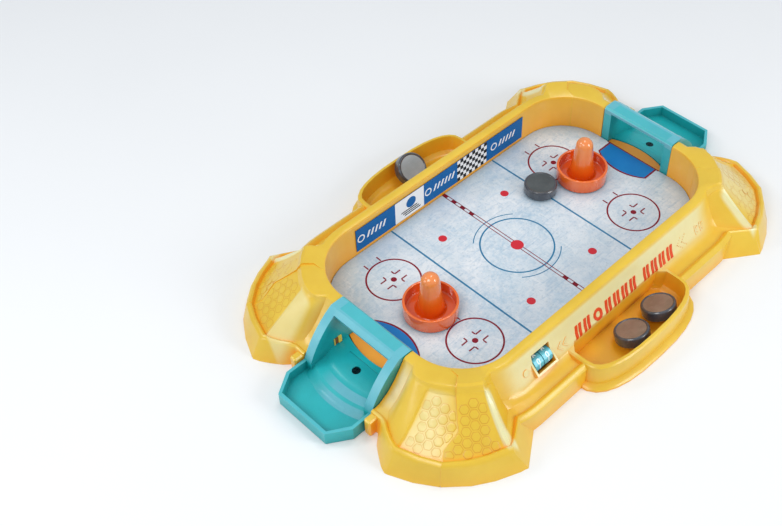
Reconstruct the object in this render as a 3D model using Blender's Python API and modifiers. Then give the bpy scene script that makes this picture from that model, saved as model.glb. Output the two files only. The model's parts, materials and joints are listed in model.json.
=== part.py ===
"""Table hockey game: a toy rink with two catch-tray goals, two strikers, four pucks and score wheels.

Metres, +Z up.  The origin is on the table under the middle of the rink.  X runs from goal to goal,
Y across the rink.  Left and right are -X and +X, near and far are -Y and +Y.
"""
import bpy
import bmesh
from math import asin, atan2, cos, pi, radians, sin, sqrt
from mathutils import Matrix, Vector

# Fits between pieces
GAP = 0.0003                    # faces that touch or seat
RUNNING = 0.0004                # pieces that turn or slide past each other
OVERRUN = 0.0010                # how far a cutter or a joining piece runs past a face
WALL = 0.0020                   # wall of the yellow mouldings
MERGE = 0.000001                # points this close together are one

# Playing field
RINK_HALF_LENGTH = 0.1305
RINK_HALF_WIDTH = 0.0725
ICE_TOP = 0.0131
ICE_THICK = 0.0006
DECK_THICK = 0.0024
DECK_TOP = ICE_TOP - ICE_THICK - GAP
DECK_BOTTOM = DECK_TOP - DECK_THICK

# Goal
GOAL_HALF_WIDTH = 0.0310
GOAL_FIT = 0.0004
ARM_THICK = 0.0065
GOAL_TOP = 0.0420
POST_DEPTH = 0.0115
CROSSBAR_DEPTH = 0.0150
CROSSBAR_THICK = 0.0052
CROSSBAR_ROUND = 0.0016
ARM_REACH = 0.0373
ARM_SAG = 0.0030
TRAY_REACH = 0.0665
TRAY_CHAMFER = 0.0145
TRAY_END_HALF = 0.0215
TRAY_RIM = 0.0108
TRAY_FLOOR = 0.0028
GOAL_WALL = 0.0022
RAMP_THICK = 0.0022
RAMP_EDGE = 0.0102              # mouth edge, out from the goal line at mid width
RAMP_SAGITTA = 0.0052
RAMP_LIP = 0.0003               # mouth edge below the ice
APRON_FALL = 0.0020
FIRST_STEP = 0.0268
FIRST_STEP_RUN = 0.0052
FIRST_STEP_FALL = 0.0024
LANDING_RUN = 0.0072
LANDING_FALL = 0.0008
SECOND_STEP_RUN = 0.0072
SLOT_START = 0.0134
SLOT_RUN = 0.0040
SLOT_HALF = 0.0136
SLOT_DEPTH = 0.0006
SCREW_FROM_LINE = 0.0208
CLIP_START = 0.0122             # clip notch in one arm, out from the goal line
CLIP_LENGTH = 0.0046
CLIP_LOW = 0.0135
CLIP_HIGH = 0.0172
CLIP_DEPTH = 0.0014
BOSS_RADIUS = 0.0036
STEP_MIDDLE_SHARE = 0.62        # fall reached near the middle of a step's run
STEP_RUN_SHARE = 0.48
CROSSBAR_NOSE_SHARE = 1.4       # back edge of the crossbar, in its rounding radii

# Frame section, measured outwards from the playing face of the wall
CHEEK_LENGTH = 0.0035
LEDGE_REACH = 0.0060
RIM_TOP = 0.0412
RIM_WIDTH = 0.0077
RIM_INNER_ROUND = 0.0025
RIM_OUTER_ROUND = 0.0026
RIM_BREAK_SHARE = 0.42          # across the rim's top, where a corner cap starts to rise
CAP_BREAK_SHARE = 0.5           # of the cap's rise, reached there
SLOPE_FOOT = 0.0147
COVE_REACH = 0.0262
COVE_BEND = 3.4
COVE_BEAD = 0.0062
COVE_BEAD_RISE = 0.0028
SKIRT_REACH = 0.0333
CHEEK_REACH = 0.0345
CHEEK_BEND = 1.90
CHEEK_BEAD = 0.0028
CHEEK_BEAD_RISE = 0.0006
CHEEK_RIM = 0.0095
CHEEK_FOOT = 0.0390
CHEEK_EDGE_FOOT = 0.0443
PANEL_REACH_GOAL = 0.0473
PANEL_REACH_MIDDLE = 0.0499
PANEL_REACH_RAIL = 0.0436
PANEL_BEND = 1.15
PANEL_BEAD = 0.0046
PANEL_BEAD_RISE = 0.0016
PANEL_RECESS = 0.0012
FOOT_REACH_GOAL = 0.0595
FOOT_REACH_MIDDLE = 0.0585
FOOT_REACH_RAIL = 0.0540
RIB_RISE = 0.0012
CAP_REACH = 0.0170              # outer edge of the flat cap on each buttress
RAIL_CAP_RISE = 0.0028
COVER_CAP_RISE = 0.0014
SEAM_GAP = 0.0004
# Angle of the seam at each row: it runs aslant over the rim and jogs low on the panel
SEAM_ANGLES = (35,) * 6 + (41.5,) + (41,) * 4 + (41, 42, 43) + (36.8,) * 8
COVE_SHARES = (0.05, 0.13, 0.26, 0.45, 0.70, 1.00)
COVE_START_SHARE = 0.70         # bend of the cove where it leaves the rib
PANEL_SHARES = (0.04, 0.06, 0.30, 0.54, 0.82, 1.00)
BEAD_SHARES = (0.25, 0.50, 0.75, 1.00)
SHOULDER_SHARE = 0.16
FLANK_SHARES = (0.12, 0.45, 0.80)   # way from the cheek out to the panel
FLANK_RIM_SHARES = (0.60, 0.80, 0.933)  # rim's width, from the cheek's to the cap's
RIB_START_SHARE = 0.90          # foot under the rib, on its way to the rail side
RIB_END_SHARE = 0.15            # outer side of the rib, on its way back to the cove
RIB_RIM_SHARES = (0.0, 0.215, 0.59)     # rim's width, from the cap's to the straight wall's
RIB_CAP_SHARES = (1.0, 0.8, 0.35)
INNER_ROWS = (20, 15, 14, 13, 12, 10, 8, 6, 5, 3)
# Angles of each column about the corner: at the rim, at the bead and at the foot
CHEEK_FANS = ((0, 0, 0), (5, 3.5, 2.6))
FLANK_FANS = ((9.5, 7, 6.5), (13.5, 10.5, 10), (18, 14.5, 13.5))
GOAL_PANEL_FANS = ((23, 17.5, 16), (24, 18.6, 17.2), (31, 28, 27))
RAIL_PANEL_FANS = ((45, 47, 48), (51, 55, 57), (57, 63, 66))
RIB_FANS = ((58, 64, 67), (60, 65.5, 69), (62, 67, 70.5))
COVE_FANS = ((67, 75, 83.5), (74, 79, 86), (82, 84.5, 88), (90, 90, 90))

# Block on the cover beside the goal's tray
BLOCK_START = 0.0360            # out from the goal line
BLOCK_LENGTH = 0.0080
BLOCK_INSET = 0.0002            # in from the face beside the goal
BLOCK_WIDTH = 0.0056
BLOCK_HEIGHT = 0.0140
BLOCK_BEVEL = 0.0010

# Side pocket for spare pucks
POCKET_HALF = 0.0484
POCKET_BACK = 0.0145            # out from the playing face
POCKET_SIDE = 0.0295
POCKET_FRONT = 0.0461
POCKET_FLOOR = 0.0030
POCKET_CUT = 0.0050             # slant across its two back corners
POCKET_DRAFT = 0.0012
POCKET_WALL = 0.0026
POCKET_RIM = 0.0184
POCKET_RIM_ROUND = 0.0010
POCKET_CLEAR = 0.0300
FLANGE_REACH = 0.0052
FLANGE_HEIGHT = 0.0028
FLANGE_BEVEL = 0.0012
POCKET_SQUARE = 2.6             # superellipse power of the plan
POCKET_STEPS = 14
FILLET_RISE = 0.0065            # rounding from the pocket's floor to its wall
FILLET_REACH = 0.0062
FILLET_SHARES = ((0.0, 1.0), (0.12, 0.53), (0.43, 0.19), (1.0, 0.05))

# Score counter
WINDOW_INSET = 0.0215           # its middle, in from the start of the corner
WINDOW_LENGTH = 0.0164
WINDOW_HEIGHT = 0.0136
BEZEL_BORDER = 0.0014
BEZEL_DEPTH = 0.0036
WHEEL_RADIUS = 0.0058
WHEEL_FACETS = 10
WHEEL_WIDTH = 0.0077
WHEEL_DEPTH = 0.0085            # axle out from the playing face
WHEEL_HEIGHT = 0.0228
WHEEL_PROUD = 0.0009
AXLE_RADIUS = 0.0010
AXLE_OVERHANG = 0.0008
WEB_CLEAR = 0.0006              # from the webs and the outer wheel ends
WEB_THICK = 0.0018
WEB_BOTTOM = 0.0120
KEEPER_THICK = 0.0020

# Striker
STRIKER_RADIUS = 0.0187
STRIKER_RIM = 0.0108
STRIKER_HEIGHT = 0.0358
STRIKER_WALL = 0.0018
STRIKER_FLOOR = 0.0030
KNOB_FOOT_RADIUS = 0.0098
KNOB_WAIST_RADIUS = 0.0079
KNOB_TOP_RADIUS = 0.0064
KNOB_WAIST_SHARE = 0.45         # height of the waist between the dish and the dome
DOME_STEPS = 5
FELT_THICK = 0.0012
FELT_WIDTH = 0.0060
FELT_INSET = 0.0010
LEFT_STRIKER = (0.0453, -0.0002)    # in from its goal line, and across the rink
RIGHT_STRIKER = (0.0455, 0.0131)

# Puck
PUCK_RADIUS = 0.0120
PUCK_THICK = 0.0080
PUCK_CHAMFER = 0.0009
PUCK_DISH = 0.0005
PUCK_BORDER = 0.0018
PLAY_PUCK = (0.0782, 0.0247)        # in from the right goal line, and across the rink
NEAR_PUCK_LEAN = 20.0
NEAR_PUCK_A = (-0.0052, 0.0005)     # along the pocket, and in from where its front is deepest
NEAR_PUCK_B = (0.0248, 0.0016)
FAR_PUCK_X = 0.0020
FAR_PUCK_LEAN = 45.0

# Wall strip
STRIP_INSET = 0.0084            # in from the start of the corner
STRIP_LOW = 0.0163
STRIP_HIGH = 0.0362
STRIP_THICK = 0.0003

# Screws
SHANK_RADIUS = 0.0012
HEAD_RADIUS = 0.0027
HEAD_THICK = 0.0016
SLOT_WIDTH = 0.0007
FRAME_SCREW_INSET = 0.0030      # in from the playing face
RAIL_SCREW_INSET = 0.0229       # in from the start of the corner
CORNER_SCREW_ANGLE = 20.0

# Deck underside
RIB_THICK = 0.0018
RIB_DEPTH = 0.0046
LONG_RIB_Y = 0.0350
LONG_RIB_HALF = 0.1120
CROSS_RIB_PITCH = 0.0550
CROSS_RIB_HALF = 0.0620
TAB_HALF = 0.0130
TAB_THICK = 0.0024
TAB_START = 0.0050
TAB_RISER = 0.0030

# Facets
CORNER_STEPS = 10
TONGUE_STEPS = 8
ARM_STEPS = 7
STRIKER_STEPS = 22
PUCK_STEPS = 20
BOSS_STEPS = 14
SMALL_STEPS = 10
HALF_TURN = Matrix.Rotation(pi, 4, "Z")


def clear_scene():
    for thing in list(bpy.data.objects):
        bpy.data.objects.remove(thing, do_unlink=True)


clear_scene()
GAME = bpy.data.collections.new("table_hockey_game")
CUTTERS = bpy.data.collections.new("cutters")
bpy.context.scene.collection.children.link(GAME)
bpy.context.scene.collection.children.link(CUTTERS)

YELLOW = (0.86, 0.56, 0.07)
TURQUOISE = (0.02, 0.42, 0.46)
ORANGE = (0.82, 0.12, 0.02)
CHARCOAL = (0.07, 0.07, 0.08)
ICE_WHITE = (0.70, 0.78, 0.84)
STEEL = (0.55, 0.56, 0.58)
FELT_GREY = (0.20, 0.20, 0.21)
STRIP_BLUE = (0.02, 0.12, 0.42)


def finish(name, mesh, colour, roughness=0.4, metallic=0.0, matrix=None):
    """Put a named piece with its own material into the game's collection."""
    piece = bpy.data.objects.new(name, mesh)
    material = bpy.data.materials.new(name + "_material")
    material.use_nodes = True
    shader = material.node_tree.nodes["Principled BSDF"]
    shader.inputs["Base Color"].default_value = (*colour, 1)
    shader.inputs["Roughness"].default_value = roughness
    shader.inputs["Metallic"].default_value = metallic
    if not mesh.materials:
        mesh.materials.append(None)
    GAME.objects.link(piece)
    piece.material_slots[0].link = "OBJECT"
    piece.material_slots[0].material = material
    if matrix is not None:
        piece.matrix_world = matrix
    return piece


def helper(name, mesh):
    """A shape that only cuts or joins another, kept out of the game's collection."""
    tool = bpy.data.objects.new(name, mesh)
    tool.hide_render = True
    tool.display_type = "WIRE"
    CUTTERS.objects.link(tool)
    return tool


def frozen(tool):
    """The evaluated mesh of an object, in world space, with its loose caps welded."""
    bpy.context.view_layer.update()
    source = tool.evaluated_get(bpy.context.evaluated_depsgraph_get())
    mesh = bpy.data.meshes.new_from_object(source)
    mesh.transform(tool.matrix_world)
    shape = bmesh.new()
    shape.from_mesh(mesh)
    bmesh.ops.remove_doubles(shape, verts=shape.verts, dist=MERGE)
    shape.to_mesh(mesh)
    shape.free()
    return mesh


def combine(base, *steps):
    """Boolean steps on a mesh: each step is an operation and a mesh."""
    work = helper("work", base)
    for number, (operation, other) in enumerate(steps):
        tool = helper("tool", other)
        step = work.modifiers.new("step%02d" % number, "BOOLEAN")
        step.operation = operation
        step.object = tool
        step.solver = "EXACT"
    mesh = frozen(work)
    for step in list(work.modifiers):
        bpy.data.objects.remove(step.object, do_unlink=True)
    bpy.data.objects.remove(work, do_unlink=True)
    return mesh


def shaded(mesh, angle=35.0):
    mesh.shade_smooth()
    mesh.set_sharp_from_angle(angle=radians(angle))
    return mesh


def box(low, high, bevel=0.0):
    shape = bmesh.new()
    bmesh.ops.create_cube(shape, size=1.0)
    size = Vector(high) - Vector(low)
    bmesh.ops.scale(shape, vec=size, verts=shape.verts)
    bmesh.ops.translate(shape, vec=(Vector(high) + Vector(low)) / 2, verts=shape.verts)
    if bevel:
        bmesh.ops.bevel(shape, geom=shape.edges[:], offset=bevel, segments=1, affect="EDGES")
    return from_bmesh(shape)


def from_bmesh(shape):
    bmesh.ops.recalc_face_normals(shape, faces=shape.faces)
    mesh = bpy.data.meshes.new("shape")
    shape.to_mesh(mesh)
    shape.free()
    return mesh


def rod(radius, low, high, place=(0, 0), steps=SMALL_STEPS, axis="Z"):
    """A cylinder along Z between two heights, or along X between two stations."""
    shape = bmesh.new()
    bmesh.ops.create_cone(shape, cap_ends=True, segments=steps, radius1=radius, radius2=radius,
                          depth=high - low)
    bmesh.ops.translate(shape, vec=(0, 0, (high + low) / 2), verts=shape.verts)
    if axis == "X":
        bmesh.ops.rotate(shape, matrix=Matrix.Rotation(pi / 2, 3, "Y"), verts=shape.verts)
        bmesh.ops.translate(shape, vec=(0, place[0], place[1]), verts=shape.verts)
    else:
        bmesh.ops.translate(shape, vec=(place[0], place[1], 0), verts=shape.verts)
    return from_bmesh(shape)


def plate(outlines, low, high, plane="XY"):
    """Flat outlines extruded: along Z, or along Y for outlines drawn in X and Z, or along X."""
    drawing = bpy.data.curves.new("outline", "CURVE")
    drawing.dimensions = "2D"
    drawing.fill_mode = "BOTH"
    drawing.extrude = (high - low) / 2
    for outline in outlines:
        spline = drawing.splines.new("POLY")
        spline.points.add(len(outline) - 1)
        for point, (u, v) in zip(spline.points, outline):
            point.co = (u, v, 0, 1)
        spline.use_cyclic_u = True
    tool = helper("outline", drawing)
    middle = (high + low) / 2
    if plane == "XY":
        tool.matrix_world = Matrix.Translation((0, 0, middle))
    elif plane == "XZ":
        tool.matrix_world = Matrix.Translation((0, middle, 0)) @ Matrix.Rotation(pi / 2, 4, "X")
    else:
        turn = Matrix(((0, 0, 1, 0), (1, 0, 0, 0), (0, 1, 0, 0), (0, 0, 0, 1)))
        tool.matrix_world = Matrix.Translation((middle, 0, 0)) @ turn
    mesh = frozen(tool)
    bpy.data.objects.remove(tool, do_unlink=True)
    shape = bmesh.new()
    shape.from_mesh(mesh)
    return from_bmesh(shape)


def loft(rings):
    """A closed body through rings of equal count, capped at both ends."""
    shape = bmesh.new()
    rows = [[shape.verts.new(point) for point in ring] for ring in rings]
    count = len(rows[0])
    for ring, following in zip(rows, rows[1:]):
        for index in range(count):
            after = (index + 1) % count
            shape.faces.new((ring[index], ring[after], following[after], following[index]))
    shape.faces.new(rows[0])
    shape.faces.new(rows[-1])
    return from_bmesh(shape)


def turned(profile, steps):
    """A profile of (radius, height) points turned about Z with a Screw modifier."""
    outline = bpy.data.meshes.new("profile")
    edges = [(index, index + 1) for index in range(len(profile) - 1)]
    outline.from_pydata([(radius, 0, height) for radius, height in profile], edges, [])
    tool = helper("profile", outline)
    screw = tool.modifiers.new("turn", "SCREW")
    screw.steps = steps
    screw.render_steps = steps
    screw.use_merge_vertices = True
    screw.merge_threshold = MERGE
    mesh = frozen(tool)
    bpy.data.objects.remove(tool, do_unlink=True)
    shape = bmesh.new()
    shape.from_mesh(mesh)
    return from_bmesh(shape)


def arc(start, end, sagitta, steps):
    """Points from start to end on a circular arc that bulges to the left of the way from start."""
    start, end = Vector(start), Vector(end)
    chord = end - start
    half = chord.length / 2
    radius = (half * half + sagitta * sagitta) / (2 * sagitta)
    side = Vector((-chord.y, chord.x)).normalized()
    centre = (start + end) / 2 + side * (sagitta - radius)
    first = atan2(start.y - centre.y, start.x - centre.x)
    sweep = -2 * asin(half / abs(radius)) * (1 if sagitta > 0 else -1)
    points = []
    for step in range(steps + 1):
        angle = first + sweep * step / steps
        points.append((centre.x + abs(radius) * cos(angle), centre.y + abs(radius) * sin(angle)))
    return points


def lerp(first, second, share):
    return first + (second - first) * share


# Corner of the rink: the wall turns about this point
CORNER_RADIUS = RINK_HALF_WIDTH - GOAL_HALF_WIDTH - GOAL_FIT - CHEEK_LENGTH
CORNER_X = RINK_HALF_LENGTH - CORNER_RADIUS
CORNER_Y = RINK_HALF_WIDTH - CORNER_RADIUS
WINDOW_X = CORNER_X - WINDOW_INSET
RAIL_SCREW_X = CORNER_X - RAIL_SCREW_INSET
LEDGE_TOP = DECK_BOTTOM - GAP
LEDGE_BOTTOM = LEDGE_TOP - WALL


class Section:
    """One section across the frame, as (reach, height) rows from the ledge to the table."""

    def __init__(self, reach, bend, bead, bead_rise, foot, shares, rim=RIM_WIDTH,
                 recess=0.0, rise=0.0, cap=0.0):
        rows = [(-LEDGE_REACH, LEDGE_BOTTOM), (-LEDGE_REACH, LEDGE_TOP), (0.0, LEDGE_TOP)]
        for step in range(3):
            angle = pi / 4 * step
            rows.append((RIM_INNER_ROUND * (1 - cos(angle)),
                         RIM_TOP - RIM_INNER_ROUND * (1 - sin(angle))))
        rows.append((lerp(RIM_INNER_ROUND, rim - RIM_OUTER_ROUND, RIM_BREAK_SHARE),
                     RIM_TOP + cap * CAP_BREAK_SHARE))
        top = RIM_TOP + cap
        for step in range(3):
            angle = pi / 4 * step
            rows.append((rim - RIM_OUTER_ROUND * (1 - sin(angle)),
                         top - RIM_OUTER_ROUND * (1 - cos(angle))))
        start = top - RIM_OUTER_ROUND
        for number, share in enumerate(shares):
            height = SLOPE_FOOT + (start - SLOPE_FOOT) * (1 - share) ** bend
            lift = rise * sin(pi * share) - (recess if number else 0.0)
            rows.append((lerp(rim, reach, share), height + lift))
        for share in BEAD_SHARES:
            rows.append((reach + bead * share, SLOPE_FOOT + bead_rise * sin(pi * share)))
        edge = reach + bead
        rows.append((lerp(edge, foot, SHOULDER_SHARE), SLOPE_FOOT * (1 - SHOULDER_SHARE)))
        rows.append((foot, 0.0))
        self.outer = rows
        self.inner = [(foot - WALL, 0.0)]
        for row in INNER_ROWS:
            self.inner.append(self.offset(row, WALL))
        self.inner.append((WALL, LEDGE_BOTTOM))

    def offset(self, row, depth):
        """The row's point moved into the wall, square to the surface."""
        before, here, after = (Vector(self.outer[row + step]) for step in (-1, 0, 1))
        first = (here - before).normalized()
        second = (after - here).normalized()
        normal = Vector((-first.y - second.y, first.x + second.x)).normalized()
        spread = max(0.5, normal.dot(Vector((-first.y, first.x))))
        moved = here - normal * depth / spread
        return (moved.x, moved.y)

    def ring(self, place):
        """World points: place gives (x, y) for a reach and a row number."""
        points = []
        for row, (reach, height) in enumerate(self.outer):
            x, y = place(reach, row)
            points.append((x, y, height))
        rows = (21,) + INNER_ROWS + (2,)
        for row, (reach, height) in zip(rows, self.inner):
            x, y = place(reach, row)
            points.append((x, y, height))
        return points


def cove_section():
    return Section(COVE_REACH, COVE_BEND, COVE_BEAD, COVE_BEAD_RISE, SKIRT_REACH, COVE_SHARES)


def cheek_section():
    return Section(CHEEK_REACH, CHEEK_BEND, CHEEK_BEAD, CHEEK_BEAD_RISE, CHEEK_FOOT, PANEL_SHARES,
                   rim=CHEEK_RIM)


def panel_section(reach, foot, cap, rim=CAP_REACH, recess=PANEL_RECESS, rise=0.0):
    return Section(reach, PANEL_BEND, PANEL_BEAD, PANEL_BEAD_RISE, foot, PANEL_SHARES,
                   rim, recess, rise, cap)


def turning(rim_angle, bead_angle, foot_angle):
    """Places of a column whose rows fan from the rim's angle to the foot's angle."""
    def place(reach, row):
        if row <= 10:
            angle = rim_angle
        elif row <= 15:
            angle = lerp(rim_angle, bead_angle, (row - 10) / 5)
        elif row <= 19:
            angle = bead_angle
        elif row == 20:
            angle = lerp(bead_angle, foot_angle, SHOULDER_SHARE)
        else:
            angle = foot_angle
        turn = radians(angle)
        radius = CORNER_RADIUS + reach
        return (CORNER_X + radius * cos(turn), CORNER_Y + radius * sin(turn))
    return place


def along_seam(shift):
    """Places of a column on the seam between a cover and its rail, moved aside by the shift."""
    def place(reach, row):
        turn = radians(SEAM_ANGLES[row])
        radius = CORNER_RADIUS + reach
        return (CORNER_X + radius * cos(turn) - shift * sin(turn),
                CORNER_Y + radius * sin(turn) + shift * cos(turn))
    return place


def beside_goal(y):
    def place(reach, row):
        return (RINK_HALF_LENGTH + reach, y)
    return place


def wall_shell(rings):
    """A closed body through frame sections, with its ends closed across the wall in strips."""
    shape = bmesh.new()
    rows = [[shape.verts.new(point) for point in ring] for ring in rings]
    count = len(rows[0])
    for ring, following in zip(rows, rows[1:]):
        for index in range(count):
            after = (index + 1) % count
            shape.faces.new((ring[index], ring[after], following[after], following[index]))
    marks = (21,) + INNER_ROWS + (2,)
    for ring in (rows[0], rows[-1]):
        for number, (high, low) in enumerate(zip(marks, marks[1:])):
            within = marks[0] + 1 + number
            shape.faces.new(ring[low:high + 1] + ring[within:within + 2])
        shape.faces.new((ring[0], ring[1], ring[2], ring[-1]))
    return from_bmesh(shape)


def corner_cover_mesh():
    """Goal-side part of a corner, from the goal arm to the lap at the middle of the buttress."""
    cheek = cheek_section()
    rings = [cheek.ring(beside_goal(GOAL_HALF_WIDTH + GOAL_FIT))]
    rings += [cheek.ring(turning(*fan)) for fan in CHEEK_FANS]
    for share, rim_share, fan in zip(FLANK_SHARES, FLANK_RIM_SHARES, FLANK_FANS):
        flank = panel_section(lerp(CHEEK_REACH, PANEL_REACH_GOAL, share),
                              lerp(CHEEK_EDGE_FOOT, FOOT_REACH_GOAL, share),
                              COVER_CAP_RISE * share,
                              lerp(CHEEK_RIM, CAP_REACH, rim_share), 0.0)
        rings.append(flank.ring(turning(*fan)))
    edge, panel, middle = GOAL_PANEL_FANS
    brink = panel_section(PANEL_REACH_GOAL, FOOT_REACH_GOAL, COVER_CAP_RISE, recess=0.0)
    rings.append(brink.ring(turning(*edge)))
    first = panel_section(PANEL_REACH_GOAL, FOOT_REACH_GOAL, COVER_CAP_RISE)
    rings.append(first.ring(turning(*panel)))
    halfway = panel_section((PANEL_REACH_GOAL + PANEL_REACH_MIDDLE) / 2,
                            (FOOT_REACH_GOAL + FOOT_REACH_MIDDLE) / 2, COVER_CAP_RISE)
    rings.append(halfway.ring(turning(*middle)))
    seam = panel_section(PANEL_REACH_MIDDLE, FOOT_REACH_MIDDLE, COVER_CAP_RISE)
    rings.append(seam.ring(along_seam(-SEAM_GAP / 2)))
    return wall_shell(rings)


def cover_block():
    """The small block at the foot of a cover, beside the goal's tray."""
    x = RINK_HALF_LENGTH + BLOCK_START
    y = GOAL_HALF_WIDTH + GOAL_FIT + BLOCK_INSET
    return box((x, y, 0.0), (x + BLOCK_LENGTH, y + BLOCK_WIDTH, BLOCK_HEIGHT), BLOCK_BEVEL)


def corner_of_rail():
    """Rings of the rail's half of a buttress, from the lap to the straight wall."""
    seam = panel_section(PANEL_REACH_MIDDLE, FOOT_REACH_MIDDLE, RAIL_CAP_RISE)
    rings = [seam.ring(along_seam(SEAM_GAP / 2))]
    for number, fan in enumerate(RAIL_PANEL_FANS):
        share = (number + 1) / len(RAIL_PANEL_FANS)
        panel = panel_section(lerp(PANEL_REACH_MIDDLE, PANEL_REACH_RAIL, share),
                              lerp(FOOT_REACH_MIDDLE, FOOT_REACH_RAIL, share * RIB_START_SHARE),
                              RAIL_CAP_RISE)
        rings.append(panel.ring(turning(*fan)))
    start = (PANEL_REACH_RAIL, lerp(FOOT_REACH_MIDDLE, FOOT_REACH_RAIL, RIB_START_SHARE), 0.0)
    crest = (PANEL_REACH_RAIL, FOOT_REACH_RAIL, RIB_RISE)
    end = (lerp(PANEL_REACH_RAIL, COVE_REACH, RIB_END_SHARE), FOOT_REACH_RAIL, 0.0)
    for number, (reach, foot, rise) in enumerate((start, crest, end)):
        rim = lerp(CAP_REACH, RIM_WIDTH, RIB_RIM_SHARES[number])
        rib = panel_section(reach, foot, RAIL_CAP_RISE * RIB_CAP_SHARES[number], rim, 0.0, rise)
        rings.append(rib.ring(turning(*RIB_FANS[number])))
    bend = COVE_BEND * COVE_START_SHARE
    start = Section(COVE_REACH, bend, COVE_BEAD, COVE_BEAD_RISE, SKIRT_REACH, COVE_SHARES)
    rings.append(start.ring(turning(*COVE_FANS[0])))
    rings += [cove_section().ring(turning(*fan)) for fan in COVE_FANS[1:]]
    return rings


def pocket_outline(half, back, side, front, cut=0.0):
    """Plan of the side pocket: square or slanted at the wall, rounded to the front."""
    points = [(half, RINK_HALF_WIDTH + back + cut)]
    for step in range(POCKET_STEPS + 1):
        angle = pi * step / POCKET_STEPS
        power = 2 / POCKET_SQUARE
        x = half * abs(cos(angle)) ** power * (1 if cos(angle) > 0 else -1)
        y = side + (front - side) * abs(sin(angle)) ** power
        points.append((x, RINK_HALF_WIDTH + y))
    points.append((-half, RINK_HALF_WIDTH + back + cut))
    if cut:
        points.append((cut - half, RINK_HALF_WIDTH + back))
        points.append((half - cut, RINK_HALF_WIDTH + back))
    return points


def pocket_ring(spread, height, back=POCKET_BACK, cut=0.0):
    outline = pocket_outline(POCKET_HALF + spread, back, POCKET_SIDE, POCKET_FRONT + spread, cut)
    return [(x, y, height) for x, y in outline]


def pocket_tub():
    """The pocket's outside, with the flange that it stands on."""
    back = POCKET_BACK - WALL
    flange = POCKET_WALL + FLANGE_REACH
    levels = ((flange, 0.0), (flange, FLANGE_HEIGHT - FLANGE_BEVEL),
              (flange - FLANGE_BEVEL, FLANGE_HEIGHT),
              (POCKET_WALL + POCKET_DRAFT, FLANGE_HEIGHT + FLANGE_BEVEL),
              (POCKET_WALL, POCKET_RIM - POCKET_RIM_ROUND),
              (POCKET_WALL - POCKET_RIM_ROUND, POCKET_RIM))
    return loft([pocket_ring(spread, height, back=back) for spread, height in levels])


def pocket_space():
    rings = [pocket_ring(-inset * FILLET_REACH, POCKET_FLOOR + rise * FILLET_RISE, cut=POCKET_CUT)
             for rise, inset in FILLET_SHARES]
    rings.append(pocket_ring(0.0, POCKET_CLEAR, cut=POCKET_CUT))
    return loft(rings)


# The counter looks out square to a plane that leans halfway back
LEAN = radians(45)
AXLE_Y = RINK_HALF_WIDTH + WHEEL_DEPTH
BEZEL_PLANE = WHEEL_RADIUS - WHEEL_PROUD
WEB_INSIDE = WHEEL_WIDTH + WEB_CLEAR
KEEPER_HALF_DEPTH = POCKET_BACK - WALL - GAP - WHEEL_DEPTH


def leaning_box(half_length, half_height, low, high, bevel=0.0):
    """A box whose height axis points out of the counter's window, from the axle."""
    mesh = box((-half_length, -half_height, low), (half_length, half_height, high), bevel)
    mesh.transform(Matrix.Translation((WINDOW_X, AXLE_Y, WHEEL_HEIGHT))
                   @ Matrix.Rotation(-LEAN, 4, "X"))
    return mesh


def counter_web(side):
    """A web across the hollow rail, with a slot up to the axle."""
    section = cove_section()
    rim = [section.offset(row, WALL / 2) for row in range(3, 14)]
    outline = [(RINK_HALF_WIDTH + reach, height) for reach, height in rim]
    outline.append((outline[-1][0], WEB_BOTTOM))
    outline.append((outline[0][0], WEB_BOTTOM))
    inside = WINDOW_X + side * WEB_INSIDE
    outside = WINDOW_X + side * (WEB_INSIDE + WEB_THICK)
    return plate([outline], min(inside, outside), max(inside, outside), "YZ")


def axle_slot():
    half = AXLE_RADIUS + GAP
    reach = WEB_INSIDE + WEB_THICK + OVERRUN
    slot = box((WINDOW_X - reach, AXLE_Y - half, WEB_BOTTOM - OVERRUN),
               (WINDOW_X + reach, AXLE_Y + half, WHEEL_HEIGHT))
    bore = rod(half, WINDOW_X - reach, WINDOW_X + reach, (AXLE_Y, WHEEL_HEIGHT), axis="X")
    return slot, bore


def screw_hole(place):
    return rod(SHANK_RADIUS + GAP, 0.0, ICE_TOP, place)


def rail_mesh():
    right = corner_of_rail()
    left = [[(-x, y, z) for x, y, z in ring] for ring in reversed(right)]
    body = wall_shell(right + left)
    half_length = WINDOW_LENGTH / 2
    half_height = WINDOW_HEIGHT / 2
    steps = [("UNION", pocket_tub()), ("DIFFERENCE", pocket_space())]
    steps.append(("UNION", leaning_box(half_length + BEZEL_BORDER, half_height + BEZEL_BORDER,
                                       BEZEL_PLANE - BEZEL_DEPTH, BEZEL_PLANE)))
    for side in (-1, 1):
        steps.append(("UNION", counter_web(side)))
    steps.append(("DIFFERENCE", leaning_box(half_length, half_height, 0.0, WHEEL_RADIUS * 2)))
    for cutter in axle_slot():
        steps.append(("DIFFERENCE", cutter))
    for side in (-1, 1):
        place = (side * RAIL_SCREW_X, RINK_HALF_WIDTH - FRAME_SCREW_INSET)
        steps.append(("DIFFERENCE", screw_hole(place)))
    return shaded(combine(body, *steps))


def corner_screw_place():
    turn = radians(CORNER_SCREW_ANGLE)
    radius = CORNER_RADIUS - FRAME_SCREW_INSET
    return (CORNER_X + radius * cos(turn), CORNER_Y + radius * sin(turn))


def mirrored(mesh, axis):
    """A mirrored copy of a mesh, with its faces turned back out."""
    shape = bmesh.new()
    shape.from_mesh(mesh)
    size = (1, -1, 1) if axis == "Y" else (-1, 1, 1)
    bmesh.ops.scale(shape, vec=size, verts=shape.verts)
    return shaded(from_bmesh(shape))


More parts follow.
